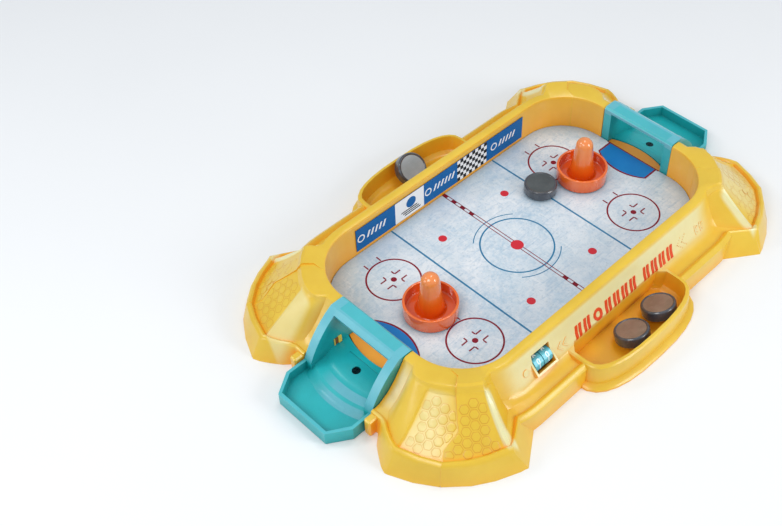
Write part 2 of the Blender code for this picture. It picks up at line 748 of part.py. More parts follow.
def frame():
    rail = rail_mesh()
    finish("side_rail_far", rail, YELLOW)
    finish("side_rail_near", rail, YELLOW, matrix=HALF_TURN)
    cover = shaded(combine(corner_cover_mesh(), ("UNION", cover_block()),
                           ("DIFFERENCE", screw_hole(corner_screw_place()))))
    other = mirrored(cover, "Y")
    finish("corner_cover_right_far", cover, YELLOW)
    finish("corner_cover_left_near", cover, YELLOW, matrix=HALF_TURN)
    finish("corner_cover_right_near", other, YELLOW)
    finish("corner_cover_left_far", other, YELLOW, matrix=HALF_TURN)


def rink_outline(inset):
    """Plan of the rink inside the walls."""
    radius = CORNER_RADIUS - inset
    quarter = []
    for step in range(CORNER_STEPS + 1):
        turn = pi / 2 * step / CORNER_STEPS
        quarter.append((CORNER_X + radius * cos(turn), CORNER_Y + radius * sin(turn)))
    outline = list(quarter)
    outline += [(-x, y) for x, y in reversed(quarter)]
    outline += [(-x, -y) for x, y in quarter]
    outline += [(x, -y) for x, y in reversed(quarter)]
    return outline


def tongue_mesh(side):
    """The floor between the goal line and the curved edge of the goal."""
    half = GOAL_HALF_WIDTH - ARM_THICK - GAP
    shoulder = RINK_HALF_LENGTH + RAMP_EDGE - RAMP_SAGITTA - GAP
    outline = arc((shoulder, half), (shoulder, -half), RAMP_SAGITTA, TONGUE_STEPS)
    outline += [(RINK_HALF_LENGTH - TAB_START, -half), (RINK_HALF_LENGTH - TAB_START, half)]
    return plate([[(side * x, y) for x, y in outline]], DECK_BOTTOM, DECK_TOP)


RAMP_BOSS_BOTTOM = DECK_BOTTOM - RAMP_THICK - GAP
TAB_TOP = RAMP_BOSS_BOTTOM - GAP
SCREW_X = RINK_HALF_LENGTH + SCREW_FROM_LINE


def deck():
    body = plate([rink_outline(GAP)], DECK_BOTTOM, DECK_TOP)
    bottom = DECK_BOTTOM - RIB_DEPTH
    joined = DECK_BOTTOM + DECK_THICK / 4
    steps = []
    for side in (-1, 1):
        y = side * LONG_RIB_Y
        steps.append(("UNION", box((-LONG_RIB_HALF, y - RIB_THICK / 2, bottom),
                                   (LONG_RIB_HALF, y + RIB_THICK / 2, joined))))
    for number in (-1, 0, 1):
        x = number * CROSS_RIB_PITCH
        steps.append(("UNION", box((x - RIB_THICK / 2, -CROSS_RIB_HALF, bottom),
                                   (x + RIB_THICK / 2, CROSS_RIB_HALF, joined))))
    for side in (-1, 1):
        steps.append(("UNION", tongue_mesh(side)))
        start = side * (RINK_HALF_LENGTH - TAB_START)
        riser = side * (RINK_HALF_LENGTH + TAB_RISER)
        end = side * (SCREW_X + BOSS_RADIUS * 2)
        steps.append(("UNION", box((min(start, riser), -TAB_HALF, TAB_TOP - TAB_THICK),
                                   (max(start, riser), TAB_HALF, joined))))
        steps.append(("UNION", box((min(start, end), -TAB_HALF, TAB_TOP - TAB_THICK),
                                   (max(start, end), TAB_HALF, TAB_TOP))))
        steps.append(("DIFFERENCE", screw_hole((side * SCREW_X, 0.0))))
    for place in frame_screw_places().values():
        steps.append(("DIFFERENCE", screw_hole(place)))
    finish("rink_deck", shaded(combine(body, *steps)), YELLOW)
    sheet = plate([rink_outline(GAP)], DECK_TOP + GAP, ICE_TOP)
    finish("ice_sheet", sheet, ICE_WHITE, 0.25)


def frame_screw_places():
    corner_x, corner_y = corner_screw_place()
    rail_y = RINK_HALF_WIDTH - FRAME_SCREW_INSET
    places = {}
    for x_name, x_side in (("left", -1), ("right", 1)):
        for y_name, y_side in (("near", -1), ("far", 1)):
            places["rail_screw_%s_%s" % (x_name, y_name)] = (x_side * RAIL_SCREW_X, y_side * rail_y)
            places["corner_screw_%s_%s" % (x_name, y_name)] = (x_side * corner_x, y_side * corner_y)
    return places


def screw_mesh(head_low, head_high, tip, up):
    """A pan head screw with a straight slot; up says whether its tip is above its head."""
    profile_head = rod(HEAD_RADIUS, head_low, head_high)
    if up:
        shank = rod(SHANK_RADIUS, head_low + HEAD_THICK / 2, tip)
        slot_low, slot_high = head_low - OVERRUN, head_low + HEAD_THICK / 3
    else:
        shank = rod(SHANK_RADIUS, tip, head_high - HEAD_THICK / 2)
        slot_low, slot_high = head_high - HEAD_THICK / 3, head_high + OVERRUN
    slot = box((-HEAD_RADIUS - OVERRUN, -SLOT_WIDTH / 2, slot_low),
               (HEAD_RADIUS + OVERRUN, SLOT_WIDTH / 2, slot_high))
    return shaded(combine(profile_head, ("UNION", shank), ("DIFFERENCE", slot)))


def frame_screws():
    head_high = LEDGE_BOTTOM - GAP
    mesh = screw_mesh(head_high - HEAD_THICK, head_high, DECK_TOP - GAP, True)
    for name, (x, y) in frame_screw_places().items():
        finish(name, mesh, STEEL, 0.3, 1.0, Matrix.Translation((x, y, 0)))


def apron_height(out):
    """Height of the ramp's first stretch, out from the goal line at mid width."""
    share = (out - RAMP_EDGE) / (FIRST_STEP - RAMP_EDGE)
    return ICE_TOP - RAMP_LIP - APRON_FALL * share


def ramp_mesh():
    """The curved ramp from the mouth down to the catch tray."""
    half = GOAL_HALF_WIDTH - ARM_THICK
    landing = FIRST_STEP + FIRST_STEP_RUN
    second = landing + LANDING_RUN
    first_z = apron_height(FIRST_STEP)
    landing_z = first_z - FIRST_STEP_FALL
    second_z = landing_z - LANDING_FALL
    stations = [(RAMP_EDGE, apron_height(RAMP_EDGE)), (FIRST_STEP, first_z),
                (lerp(FIRST_STEP, landing, STEP_RUN_SHARE),
                 lerp(first_z, landing_z, STEP_MIDDLE_SHARE)),
                (landing, landing_z), (second, second_z),
                (second + SECOND_STEP_RUN * STEP_RUN_SHARE,
                 lerp(second_z, TRAY_FLOOR, STEP_MIDDLE_SHARE)),
                (second + SECOND_STEP_RUN, TRAY_FLOOR - GOAL_WALL / 8)]
    profile = stations + [(out, height - RAMP_THICK) for out, height in reversed(stations)]
    rings = []
    for step in range(TONGUE_STEPS + 1):
        share = 2 * step / TONGUE_STEPS - 1
        start = RINK_HALF_LENGTH - RAMP_SAGITTA * share * share
        y = (half + ARM_THICK / 4) * share
        rings.append([(start + out, y, height) for out, height in profile])
    return loft(rings)


def tray_outline(inset, start):
    """Plan of the catch tray: square at the goal, cut corners at the end."""
    half = GOAL_HALF_WIDTH - inset
    end = TRAY_REACH - inset
    shoulder = TRAY_REACH - TRAY_CHAMFER - inset * (sqrt(2) - 1)
    end_half = TRAY_END_HALF - inset * (sqrt(2) - 1)
    points = [(start, -half), (shoulder, -half), (end, -end_half),
              (end, end_half), (shoulder, half), (start, half)]
    return [(RINK_HALF_LENGTH + x, y) for x, y in points]


def goal_mesh():
    line = RINK_HALF_LENGTH
    inner = GOAL_HALF_WIDTH - ARM_THICK
    arm = [(line + GAP, GAP), (line + GAP, GOAL_TOP - CROSSBAR_ROUND),
           (line + GAP + CROSSBAR_ROUND, GOAL_TOP), (line + POST_DEPTH, GOAL_TOP)]
    arm += arc((line + POST_DEPTH, GOAL_TOP), (line + ARM_REACH, TRAY_RIM), ARM_SAG,
               ARM_STEPS)[1:]
    arm += [(line + ARM_REACH, GAP)]
    arms = [plate([arm], side * (inner + ARM_THICK / 2) - ARM_THICK / 2,
                  side * (inner + ARM_THICK / 2) + ARM_THICK / 2, "XZ") for side in (-1, 1)]
    under = GOAL_TOP - CROSSBAR_THICK
    bar = [(line + GAP, under + CROSSBAR_ROUND), (line + GAP, GOAL_TOP - CROSSBAR_ROUND),
           (line + GAP + CROSSBAR_ROUND, GOAL_TOP), (line + POST_DEPTH, GOAL_TOP),
           (line + CROSSBAR_DEPTH, GOAL_TOP - CROSSBAR_ROUND * CROSSBAR_NOSE_SHARE),
           (line + CROSSBAR_DEPTH - CROSSBAR_ROUND / 2, under),
           (line + GAP + CROSSBAR_ROUND, under)]
    crossbar = plate([bar], -inner - OVERRUN, inner + OVERRUN, "XZ")
    tray = plate([tray_outline(0.0, ARM_REACH - ARM_THICK)], GAP, TRAY_RIM)
    hollow = plate([tray_outline(GOAL_WALL, ARM_REACH - ARM_THICK - OVERRUN)],
                   TRAY_FLOOR, GOAL_TOP)
    ramp = ramp_mesh()
    boss = rod(BOSS_RADIUS, RAMP_BOSS_BOTTOM, apron_height(SCREW_FROM_LINE) - RAMP_THICK / 2,
               (SCREW_X, 0.0), BOSS_STEPS)
    slot_end = SLOT_START + SLOT_RUN
    slot = box((line + SLOT_START, -SLOT_HALF, apron_height(SLOT_START) - SLOT_DEPTH),
               (line + slot_end, SLOT_HALF, ICE_TOP + OVERRUN))
    head = rod(HEAD_RADIUS + GAP, apron_height(SCREW_FROM_LINE) - HEAD_THICK - GAP,
               ICE_TOP + OVERRUN, (SCREW_X, 0.0), BOSS_STEPS)
    clip = box((line + CLIP_START, -inner - CLIP_DEPTH, CLIP_LOW),
               (line + CLIP_START + CLIP_LENGTH, -inner + OVERRUN, CLIP_HIGH))
    return shaded(combine(tray, ("DIFFERENCE", hollow), ("UNION", ramp), ("UNION", boss),
                          ("UNION", arms[0]), ("UNION", arms[1]), ("UNION", crossbar),
                          ("DIFFERENCE", slot), ("DIFFERENCE", head), ("DIFFERENCE", clip),
                          ("DIFFERENCE", screw_hole((SCREW_X, 0.0)))))


def goals():
    mesh = goal_mesh()
    finish("goal_right", mesh, TURQUOISE)
    finish("goal_left", mesh, TURQUOISE, matrix=HALF_TURN)
    head_high = apron_height(SCREW_FROM_LINE) - GAP / 2
    screw = screw_mesh(head_high - HEAD_THICK, head_high, TAB_TOP - TAB_THICK, False)
    for name, side in (("goal_screw_right", 1), ("goal_screw_left", -1)):
        finish(name, screw, STEEL, 0.3, 1.0, Matrix.Translation((side * SCREW_X, 0, 0)))


def wheel_mesh():
    """A ten-sided number wheel on its bore, turned so that a facet faces the window."""
    half = WHEEL_WIDTH / 2
    body = rod(WHEEL_RADIUS, -half, half, steps=WHEEL_FACETS)
    bore = rod(AXLE_RADIUS + GAP, -half - OVERRUN, half + OVERRUN)
    mesh = combine(body, ("DIFFERENCE", bore))
    mesh.transform(Matrix.Rotation(pi / 2, 4, "Y"))
    mesh.transform(Matrix.Rotation(LEAN + pi / WHEEL_FACETS, 4, "X"))
    return mesh


def counters():
    wheel = wheel_mesh()
    pitch = (WHEEL_WIDTH + RUNNING) / 2
    half = WEB_INSIDE + WEB_THICK
    axle = shaded(rod(AXLE_RADIUS, -half - AXLE_OVERHANG, half + AXLE_OVERHANG, axis="X"))
    low = WEB_BOTTOM - GAP - KEEPER_THICK
    plate_high = WEB_BOTTOM - GAP
    keeper = box((-half, -KEEPER_HALF_DEPTH, low), (half, KEEPER_HALF_DEPTH, plate_high))
    blades = []
    for side in (-1, 1):
        start, end = sorted((side * WEB_INSIDE, side * half))
        blades.append(("UNION", box((start, -AXLE_RADIUS, low + KEEPER_THICK / 2),
                                    (end, AXLE_RADIUS, WHEEL_HEIGHT - AXLE_RADIUS - GAP))))
    keeper = combine(keeper, *blades)
    for name, turn in (("far", Matrix.Identity(4)), ("near", HALF_TURN)):
        centre = turn @ Matrix.Translation((WINDOW_X, AXLE_Y, WHEEL_HEIGHT))
        finish("score_wheel_%s_tens" % name, wheel, TURQUOISE, 0.35, 0.0,
               centre @ Matrix.Translation((pitch, 0, 0)))
        finish("score_wheel_%s_units" % name, wheel, TURQUOISE, 0.35, 0.0,
               centre @ Matrix.Translation((-pitch, 0, 0)))
        finish("score_axle_%s" % name, axle, STEEL, 0.25, 1.0, centre)
        finish("score_keeper_%s" % name, keeper, YELLOW, 0.45, 0.0,
               turn @ Matrix.Translation((WINDOW_X, AXLE_Y, 0)))


def striker_mesh():
    """The striker: a dish with an upright rim and a hollow knob, open below."""
    wall = STRIKER_WALL
    outer = [(0.0, STRIKER_HEIGHT)]
    dome = KNOB_TOP_RADIUS
    waist = lerp(STRIKER_FLOOR, STRIKER_HEIGHT - dome, KNOB_WAIST_SHARE)
    for step in range(DOME_STEPS):
        angle = pi / 2 * (step + 1) / DOME_STEPS
        outer.append((dome * sin(angle), STRIKER_HEIGHT - dome * (1 - cos(angle))))
    outer += [(KNOB_WAIST_RADIUS, waist),
              (KNOB_FOOT_RADIUS, STRIKER_FLOOR + wall / 2),
              (KNOB_FOOT_RADIUS + wall / 2, STRIKER_FLOOR),
              (STRIKER_RADIUS - wall * 1.5, STRIKER_FLOOR),
              (STRIKER_RADIUS - wall, STRIKER_FLOOR + wall / 2),
              (STRIKER_RADIUS - wall, STRIKER_RIM - wall / 4),
              (STRIKER_RADIUS - wall * 3 / 4, STRIKER_RIM),
              (STRIKER_RADIUS - wall / 4, STRIKER_RIM),
              (STRIKER_RADIUS, STRIKER_RIM - wall / 4),
              (STRIKER_RADIUS, STRIKER_FLOOR / 4),
              (STRIKER_RADIUS - wall / 3, 0.0),
              (STRIKER_RADIUS - wall, 0.0),
              (STRIKER_RADIUS - wall, STRIKER_FLOOR - wall),
              (KNOB_FOOT_RADIUS - wall / 2, STRIKER_FLOOR - wall),
              (KNOB_WAIST_RADIUS - wall, waist),
              (KNOB_TOP_RADIUS - wall, STRIKER_HEIGHT - dome),
              (0.0, STRIKER_HEIGHT - wall)]
    return shaded(turned(outer, STRIKER_STEPS), 50)


def strikers():
    mesh = striker_mesh()
    inside = STRIKER_RADIUS - STRIKER_WALL - FELT_INSET
    floor = STRIKER_FLOOR - STRIKER_WALL
    top = floor - GAP
    ring = turned([(inside - FELT_WIDTH, top), (inside, top), (inside, top - FELT_THICK),
                   (inside - FELT_WIDTH, top - FELT_THICK), (inside - FELT_WIDTH, top)],
                  PUCK_STEPS)
    base = ICE_TOP + GAP + FELT_THICK + GAP - floor
    for name, side, (inset, across) in (("left", -1, LEFT_STRIKER), ("right", 1, RIGHT_STRIKER)):
        matrix = Matrix.Translation((side * (RINK_HALF_LENGTH - inset), across, base))
        finish("striker_%s" % name, mesh, ORANGE, 0.3, 0.0, matrix)
        finish("striker_felt_%s" % name, ring, FELT_GREY, 0.95, 0.0, matrix)


def puck_mesh():
    """A puck with a bevelled edge and a shallow dish on both faces, about its middle."""
    half = PUCK_THICK / 2
    upper = [(0.0, half - PUCK_DISH), (PUCK_RADIUS - PUCK_CHAMFER - PUCK_BORDER, half - PUCK_DISH),
             (PUCK_RADIUS - PUCK_CHAMFER - PUCK_BORDER + PUCK_DISH, half),
             (PUCK_RADIUS - PUCK_CHAMFER, half), (PUCK_RADIUS, half - PUCK_CHAMFER)]
    profile = upper + [(radius, -height) for radius, height in reversed(upper)]
    return shaded(turned(profile, PUCK_STEPS), 30)


def leaning_height(lean):
    """Height of a puck's middle when it stands on its lower edge in a pocket."""
    half = PUCK_THICK / 2
    face = (PUCK_RADIUS - PUCK_CHAMFER) * sin(lean) + half * cos(lean)
    side = PUCK_RADIUS * sin(lean) + (half - PUCK_CHAMFER) * cos(lean)
    return POCKET_FLOOR + GAP + max(face, side)


def pucks():
    mesh = puck_mesh()
    half = PUCK_THICK / 2
    front = RINK_HALF_WIDTH + POCKET_FRONT
    inset, across = PLAY_PUCK
    place = Matrix.Translation((RINK_HALF_LENGTH - inset, across, ICE_TOP + GAP + half))
    finish("puck_in_play", mesh, CHARCOAL, 0.45, 0.0, place)
    # The near pucks lean on the pocket's wall
    lean = radians(NEAR_PUCK_LEAN)
    reach = PUCK_RADIUS * cos(lean) + (half - PUCK_CHAMFER) * sin(lean) + GAP
    for name, (along, inset) in (("a", NEAR_PUCK_A), ("b", NEAR_PUCK_B)):
        place = Matrix.Translation((along, reach + inset - front, leaning_height(lean)))
        finish("puck_near_" + name, mesh, CHARCOAL, 0.45, 0.0,
               place @ Matrix.Rotation(-lean, 4, "X"))
    # The far puck's underside leans on the pocket's rim
    lean = radians(FAR_PUCK_LEAN)
    z = leaning_height(lean)
    y = front + ((z - POCKET_RIM) * cos(lean) - half - GAP) / sin(lean)
    finish("puck_far", mesh, CHARCOAL, 0.45, 0.0,
           Matrix.Translation((FAR_PUCK_X, y, z)) @ Matrix.Rotation(lean, 4, "X"))


def wall_strips():
    face = RINK_HALF_WIDTH - GAP
    half = CORNER_X - STRIP_INSET
    for name, side in (("far", 1), ("near", -1)):
        start, end = sorted((side * (face - STRIP_THICK), side * face))
        strip = box((-half, start, STRIP_LOW), (half, end, STRIP_HIGH))
        finish("wall_strip_%s" % name, strip, STRIP_BLUE, 0.3)


frame()
deck()
frame_screws()
goals()
counters()
strikers()
pucks()
wall_strips()
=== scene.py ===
"""Looks of the table hockey game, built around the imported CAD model.

Metres, +Z up, in the model's own frame: X runs from goal to goal, Y across the rink.
Flat marks on the ice, the strips, the coves and the panels are drawn in millimetres.
"""

import json
from math import atan2, cos, degrees, hypot, pi, radians, sin, sqrt

import bmesh
import bpy
from mathutils import Matrix, Quaternion, Vector
from mathutils.bvhtree import BVHTree

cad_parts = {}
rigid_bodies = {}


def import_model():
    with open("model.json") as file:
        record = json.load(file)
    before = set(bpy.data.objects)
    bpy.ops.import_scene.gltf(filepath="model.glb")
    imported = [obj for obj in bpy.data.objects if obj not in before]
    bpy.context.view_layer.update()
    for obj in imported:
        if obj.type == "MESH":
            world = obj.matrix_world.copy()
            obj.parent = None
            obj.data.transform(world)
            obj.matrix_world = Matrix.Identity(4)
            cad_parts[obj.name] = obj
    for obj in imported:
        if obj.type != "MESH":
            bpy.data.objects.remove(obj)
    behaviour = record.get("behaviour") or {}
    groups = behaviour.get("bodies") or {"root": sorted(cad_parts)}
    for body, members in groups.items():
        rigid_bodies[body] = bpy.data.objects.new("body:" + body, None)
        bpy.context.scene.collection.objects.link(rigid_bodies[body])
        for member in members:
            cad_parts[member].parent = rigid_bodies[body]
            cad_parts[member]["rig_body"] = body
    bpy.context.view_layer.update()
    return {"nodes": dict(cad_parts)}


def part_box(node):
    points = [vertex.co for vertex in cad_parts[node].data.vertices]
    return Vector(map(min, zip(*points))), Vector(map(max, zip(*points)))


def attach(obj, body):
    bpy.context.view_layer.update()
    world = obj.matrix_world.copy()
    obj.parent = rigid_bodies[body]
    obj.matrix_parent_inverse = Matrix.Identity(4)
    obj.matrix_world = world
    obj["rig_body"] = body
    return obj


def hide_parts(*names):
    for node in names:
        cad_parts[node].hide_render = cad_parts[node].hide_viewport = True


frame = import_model()
NODES = frame["nodes"]
SCENE = bpy.context.scene
MM = 0.001
HALF_TURN = Matrix.Rotation(pi, 4, "Z")

# Places on the model
RINK_HALF_LENGTH = 0.1305
RINK_HALF_WIDTH = 0.0725
WALL_CLEAR = 0.0005
CORNER_RADIUS = 0.0376
CORNER_X = RINK_HALF_LENGTH - CORNER_RADIUS
CORNER_Y = RINK_HALF_WIDTH - CORNER_RADIUS
CORNERS = (("left_near", -1, -1), ("left_far", -1, 1), ("right_near", 1, -1), ("right_far", 1, 1))
ICE_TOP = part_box("ice_sheet")[1].z


# Materials


def rgb(red, green, blue):
    """Linear colour of an sRGB colour given in 0 to 255."""
    def linear(value):
        value /= 255
        return value / 12.92 if value <= 0.04045 else ((value + 0.055) / 1.055) ** 2.4
    return (linear(red), linear(green), linear(blue), 1.0)


def fill(tree, node, values):
    """Give a node's inputs values, or the outputs that are linked to them."""
    for name, value in values.items():
        if isinstance(value, bpy.types.NodeSocket):
            tree.links.new(value, node.inputs[name])
        else:
            node.inputs[name].default_value = value


def new_node(tree, kind, values, **settings):
    node = tree.nodes.new("ShaderNode" + kind)
    for name, value in settings.items():
        setattr(node, name, value)
    fill(tree, node, values)
    return node


class Look:
    """A procedural material, built node by node."""

    def __init__(self, name):
        self.material = bpy.data.materials.new(name)
        self.material.use_nodes = True
        self.tree = self.material.node_tree
        self.place = self.add("TexCoord", {}, "Object")

    def add(self, kind, values, output, **settings):
        return new_node(self.tree, kind, values, **settings).outputs[output]

    def noise(self, scale, detail, roughness=0.5, distortion=0.0, stretch=None):
        place = self.place
        if stretch:
            place = self.add("Mapping", {"Vector": place, "Scale": stretch}, "Vector")
        return self.add("TexNoise", {"Vector": place, "Scale": scale, "Detail": detail,
                                     "Roughness": roughness, "Distortion": distortion}, "Fac")

    def ramp(self, source, low, high, start=0.0, end=1.0, kind="LINEAR"):
        """From start to end while the source goes from low to high."""
        return self.add("MapRange", {"Value": source, "From Min": low, "From Max": high,
                                     "To Min": start, "To Max": end}, "Result",
                        interpolation_type=kind)

    def cloud(self, noise, low, high, start=0.0, end=1.0):
        """A ramp of a noise."""
        return self.ramp(self.noise(*noise), low, high, start, end)

    def mix(self, share, first, second, blend="MIX"):
        """A mix of two sources or colours, a colour being sRGB in 0 to 255."""
        first, second = (rgb(*value) if isinstance(value, tuple) else value
                         for value in (first, second))
        return self.add("Mix", {0: share, 6: first, 7: second}, 2, data_type="RGBA",
                        blend_type=blend)

    def math(self, operation, first, second=0.5):
        return self.add("Math", {0: first, 1: second}, 0, operation=operation)

    def chain(self, operation, values):
        """Values joined by one operation, from the first to the last."""
        total = values[0]
        for value in values[1:]:
            total = self.math(operation, total, value)
        return total

    def axes(self, source):
        """The X, Y and Z of a place or a direction."""
        return [self.add("SeparateXYZ", {"Vector": source}, axis) for axis in "XYZ"]

    def mask(self, measures, table):
        """The largest of the products in a table of bands, as rise and fall, and ramps."""
        faces = []
        for rows in table.values():
            parts = []
            for name, first, second, *values in rows:
                source, unit = measures[name], UNITS.get(name, MM)
                if isinstance(first, tuple):
                    low, high = first
                    parts.append(self.ramp(source, low * unit, high * unit, 0.0, 1.0, SOFT))
                    first, second, values = *second, (1.0, 0.0, SOFT)
                parts.append(self.ramp(source, first * unit, second * unit, *values))
            faces.append(self.chain("MULTIPLY", parts))
        return self.chain("MAXIMUM", faces)

    def openness(self, distance, low, high):
        """0 where the surface is shut in and 1 in the open, from what lies within a distance:
        ambient occlusion, used to paint shade.
        """
        open_share = self.add("AmbientOcclusion", {"Distance": distance}, "AO", samples=6)
        return self.ramp(open_share, low, high)

    def set(self, **values):
        """Give the shader's inputs values or sources."""
        fill(self.tree, self.tree.nodes["Principled BSDF"],
             {name.replace("_", " "): value for name, value in values.items()})

    def roughness(self, noise, low, high):
        """Uneven roughness between two values."""
        self.set(Roughness=self.cloud(noise, 0.3, 0.7, low, high))

    def bump(self, *layers):
        """Layers of (noise settings, depth in metres), one on the other."""
        values = {}
        for noise, depth in layers:
            values.update(Distance=depth, Height=self.noise(*noise))
            values["Normal"] = self.add("Bump", values, "Normal")
        self.set(Normal=values["Normal"])


SOFT = "SMOOTHSTEP"
# Units of what is measured in the tables of faces; the rest is in millimetres
UNITS = {"from_goal": radians(1), "from_rail": radians(1), "limit": radians(1), "left_far": 1,
         "side": 1, "up": 1}
# Faces of the frame with a painted sheen; on the left far corner the painted sheen falls on the
# face beside the panel in place of the panel
FRAME_SHEEN_FACES = {
    "cove": (("y", (73.5, 79.0), (90.0, 98.0)), ("x", 90.0, 110.0, 0.92, 0.0, SOFT),
             ("z", (15.0, 21.5), (36.5, 40.0))),
    "panel": (("from_goal", 23.5, 25.5, 0.0, 0.44, SOFT), ("limit", 30.0, 42.0, 1.0, 0.0, SOFT),
              ("reach", (16.5, 19.5), (47.0, 49.2)), ("left_far", 0.0, 1.0, 1.0, 0.0)),
    "beside the panel": (("from_goal", (8.0, 14.0), (23.5, 25.0)),
                         ("reach", (16.5, 19.5), (47.0, 49.2)), ("left_far", 0.0, 1.0, 0.0, 0.55)),
    "flank": (("from_rail", (57.5, 58.5), (62.0, 64.0)), ("reach", (15.0, 20.0), (44.0, 48.0))),
    "beside the goal": (("y", (31.8, 35.0), (38.5, 46.0)), ("z", (13.0, 20.0), (38.0, 42.0)),
                        ("x", 136.0, 146.0, 0.0, 1.0, SOFT), ("left_far", 0.0, 1.0, 1.0, 0.25))}
# Painted shade: the inner wall of the frame takes the warmer orange that the yellow plastic shows
# in shade
INNER_SHADE_FACES = {"wall": (("reach", 0.4, 1.4, 1.0, 0.0), ("z", 10.0, 42.0, 0.9, 0.5))}
INNER_SHADE_TONE = (248, 180, 58)
# Painted sheen that follows how light falls: on the left far corner it moves beside the panel, and
# on the right near corner it reaches further round the panel
LEFT_FAR = {"quarter": (("east", -10.0, 10.0, 1.0, 0.0), ("north", -10.0, 10.0, 0.0, 1.0))}
RIGHT_NEAR = {"quarter": (("east", -10.0, 10.0, 0.0, 1.0), ("north", -10.0, 10.0, 1.0, 0.0))}
FLARE_REACH = (0.017, 0.049)
FLARE_ANGLE = radians(6.0)
RIGHT_NEAR_EXTRA = radians(20.0)


def frame_faces(look):
    """How far the frame's plastic takes a painted sheen, and how far it takes the painted shade
    tone of the inner wall.
    """
    east, north, z = look.axes(look.place)
    x, y = look.math("ABSOLUTE", east), look.math("ABSOLUTE", north)
    across = look.math("MAXIMUM", look.math("SUBTRACT", x, CORNER_X), 0.0)
    along = look.math("MAXIMUM", look.math("SUBTRACT", y, CORNER_Y), 0.0)
    squares = [look.math("MULTIPLY", side, side) for side in (across, along)]
    reach = look.math("SUBTRACT", look.math("SQRT", look.math("ADD", *squares)), CORNER_RADIUS)
    angle = look.math("ARCTAN2", along, across)
    flare = look.ramp(reach, *FLARE_REACH, 0.0, FLARE_ANGLE)
    measures = {"x": x, "y": y, "z": z, "east": east, "north": north, "reach": reach,
                "from_goal": look.math("ADD", angle, flare),
                "from_rail": look.math("SUBTRACT", angle, flare)}
    extra = look.math("MULTIPLY", look.mask(measures, RIGHT_NEAR), RIGHT_NEAR_EXTRA)
    measures["limit"] = look.math("SUBTRACT", angle, extra)
    measures["left_far"] = look.mask(measures, LEFT_FAR)
    return look.mask(measures, FRAME_SHEEN_FACES), look.mask(measures, INNER_SHADE_FACES)


# Faces of a goal with a painted sheen, measured across, up, out from the goal line, and by how they
# face
BAND_ENDS = (("north", 2.0, 16.0, 0.75, 0.0), ("z", 10.0, 10.8, 1.0, 0.0),
             ("y", 24.0, 24.6, 1.0, 0.0), ("up", 0.3, 0.5))
GOAL_SHEEN_FACES = {
    "arm": (("y", 24.2, 24.7, 0.0, 0.70), ("z", 11.0, 11.8), ("side", 0.3, 0.5, 1.0, 0.0),
            ("out", 1.0, 3.0, 0.25, 1.0)),
    "tray rim": (("z", (10.2, 10.5), (11.0, 11.2)), ("out", 30.0, 32.0, 0.0, 0.35)),
    "crossbar nose": (("z", (36.6, 37.0), (42.4, 42.6)), ("out", 9.2, 10.0, 0.0, 0.7)),
    "crossbar front": (("z", (36.6, 37.0), (40.4, 41.2)), ("out", 0.8, 1.4, 0.8, 0.0)),
    "crossbar top": (("z", 41.2, 41.8, 0.0, 0.3),),
    "inner band": (("bowed", (32.2, 32.8), (38.4, 39.2)),) + BAND_ENDS,
    "outer band": (("bowed", (40.4, 41.2), (45.8, 46.6)),) + BAND_ENDS}
TRAY_HALF_WIDTH = 0.0261
TRAY_BOW = 0.0052


def goal_faces(look):
    """How far a goal's plastic takes a painted sheen: on its arms, crossbar, tray rim and ramp
    bands.
    """
    east, north, z = look.axes(look.place)
    facing = look.axes(look.add("NewGeometry", {}, "Normal"))
    out = look.math("SUBTRACT", look.math("ABSOLUTE", east), RINK_HALF_LENGTH)
    share = look.math("DIVIDE", north, TRAY_HALF_WIDTH)
    bow = look.chain("MULTIPLY", (share, share, TRAY_BOW))
    return look.mask({"north": north, "y": look.math("ABSOLUTE", north), "z": z, "out": out,
                      "bowed": look.math("ADD", out, bow), "up": facing[2],
                      "side": look.math("ABSOLUTE", facing[1])}, GOAL_SHEEN_FACES)


GRAIN = 0.00002


def plastic(name, deep, pale, hollow_shade, rough=0.30, glow=0.0, coat=0.3, frame_sheen=None, sheen=None):
    """Injection-moulded plastic: slightly uneven, with a fine grain; painted shade makes it warmer
    where it is shut in, and a painted sheen pales chosen faces.
    """
    look = Look(name)
    tone = look.mix(look.cloud((14, 4), 0.32, 0.68), deep, pale)
    # Painted sheen on chosen faces of the frame, and the inner wall's painted shade tone
    if frame_sheen:
        sheen_share, inner_shade_share = frame_faces(look)
        tone = look.mix(sheen_share, tone, frame_sheen)
        tone = look.mix(inner_shade_share, tone, INNER_SHADE_TONE)
    # Painted sheen on chosen faces of a goal
    if sheen:
        tone = look.mix(goal_faces(look), tone, sheen)
    # Painted shade: the warmer third colour where the surface is shut in
    if hollow_shade:
        tone = look.mix(look.openness(0.026, 0.30, 0.80), hollow_shade, tone)
    speck = look.cloud((160, 2), 0.35, 0.65, 0.0, 0.06)
    look.set(Base_Color=look.mix(speck, tone, deep, "MULTIPLY"))
    look.roughness((45, 3), rough - 0.04, rough + 0.06)
    look.bump(((70, 3), GRAIN * 3), ((1500, 2), GRAIN))
    look.set(Coat_Weight=coat, Coat_Roughness=0.16, IOR=1.5)
    if glow:
        look.set(Subsurface_Weight=glow, Subsurface_Scale=0.002,
                 Subsurface_Radius=(1.0, 0.75, 0.3))
    return look.material


def printed(name, colour, edge, rough=0.42, gloss=0.5):
    """Ink on film or board: nearly even, with faint dots and dull patches."""
    look = Look(name)
    look.set(Base_Color=look.mix(look.cloud((55, 3), 0.35, 0.65, 0.0, 0.5), colour, edge))
    look.roughness((90, 2), rough - 0.06, rough + 0.08)
    look.bump(((900, 2), 0.000006))
    look.set(Specular_IOR_Level=gloss)
    return look.material


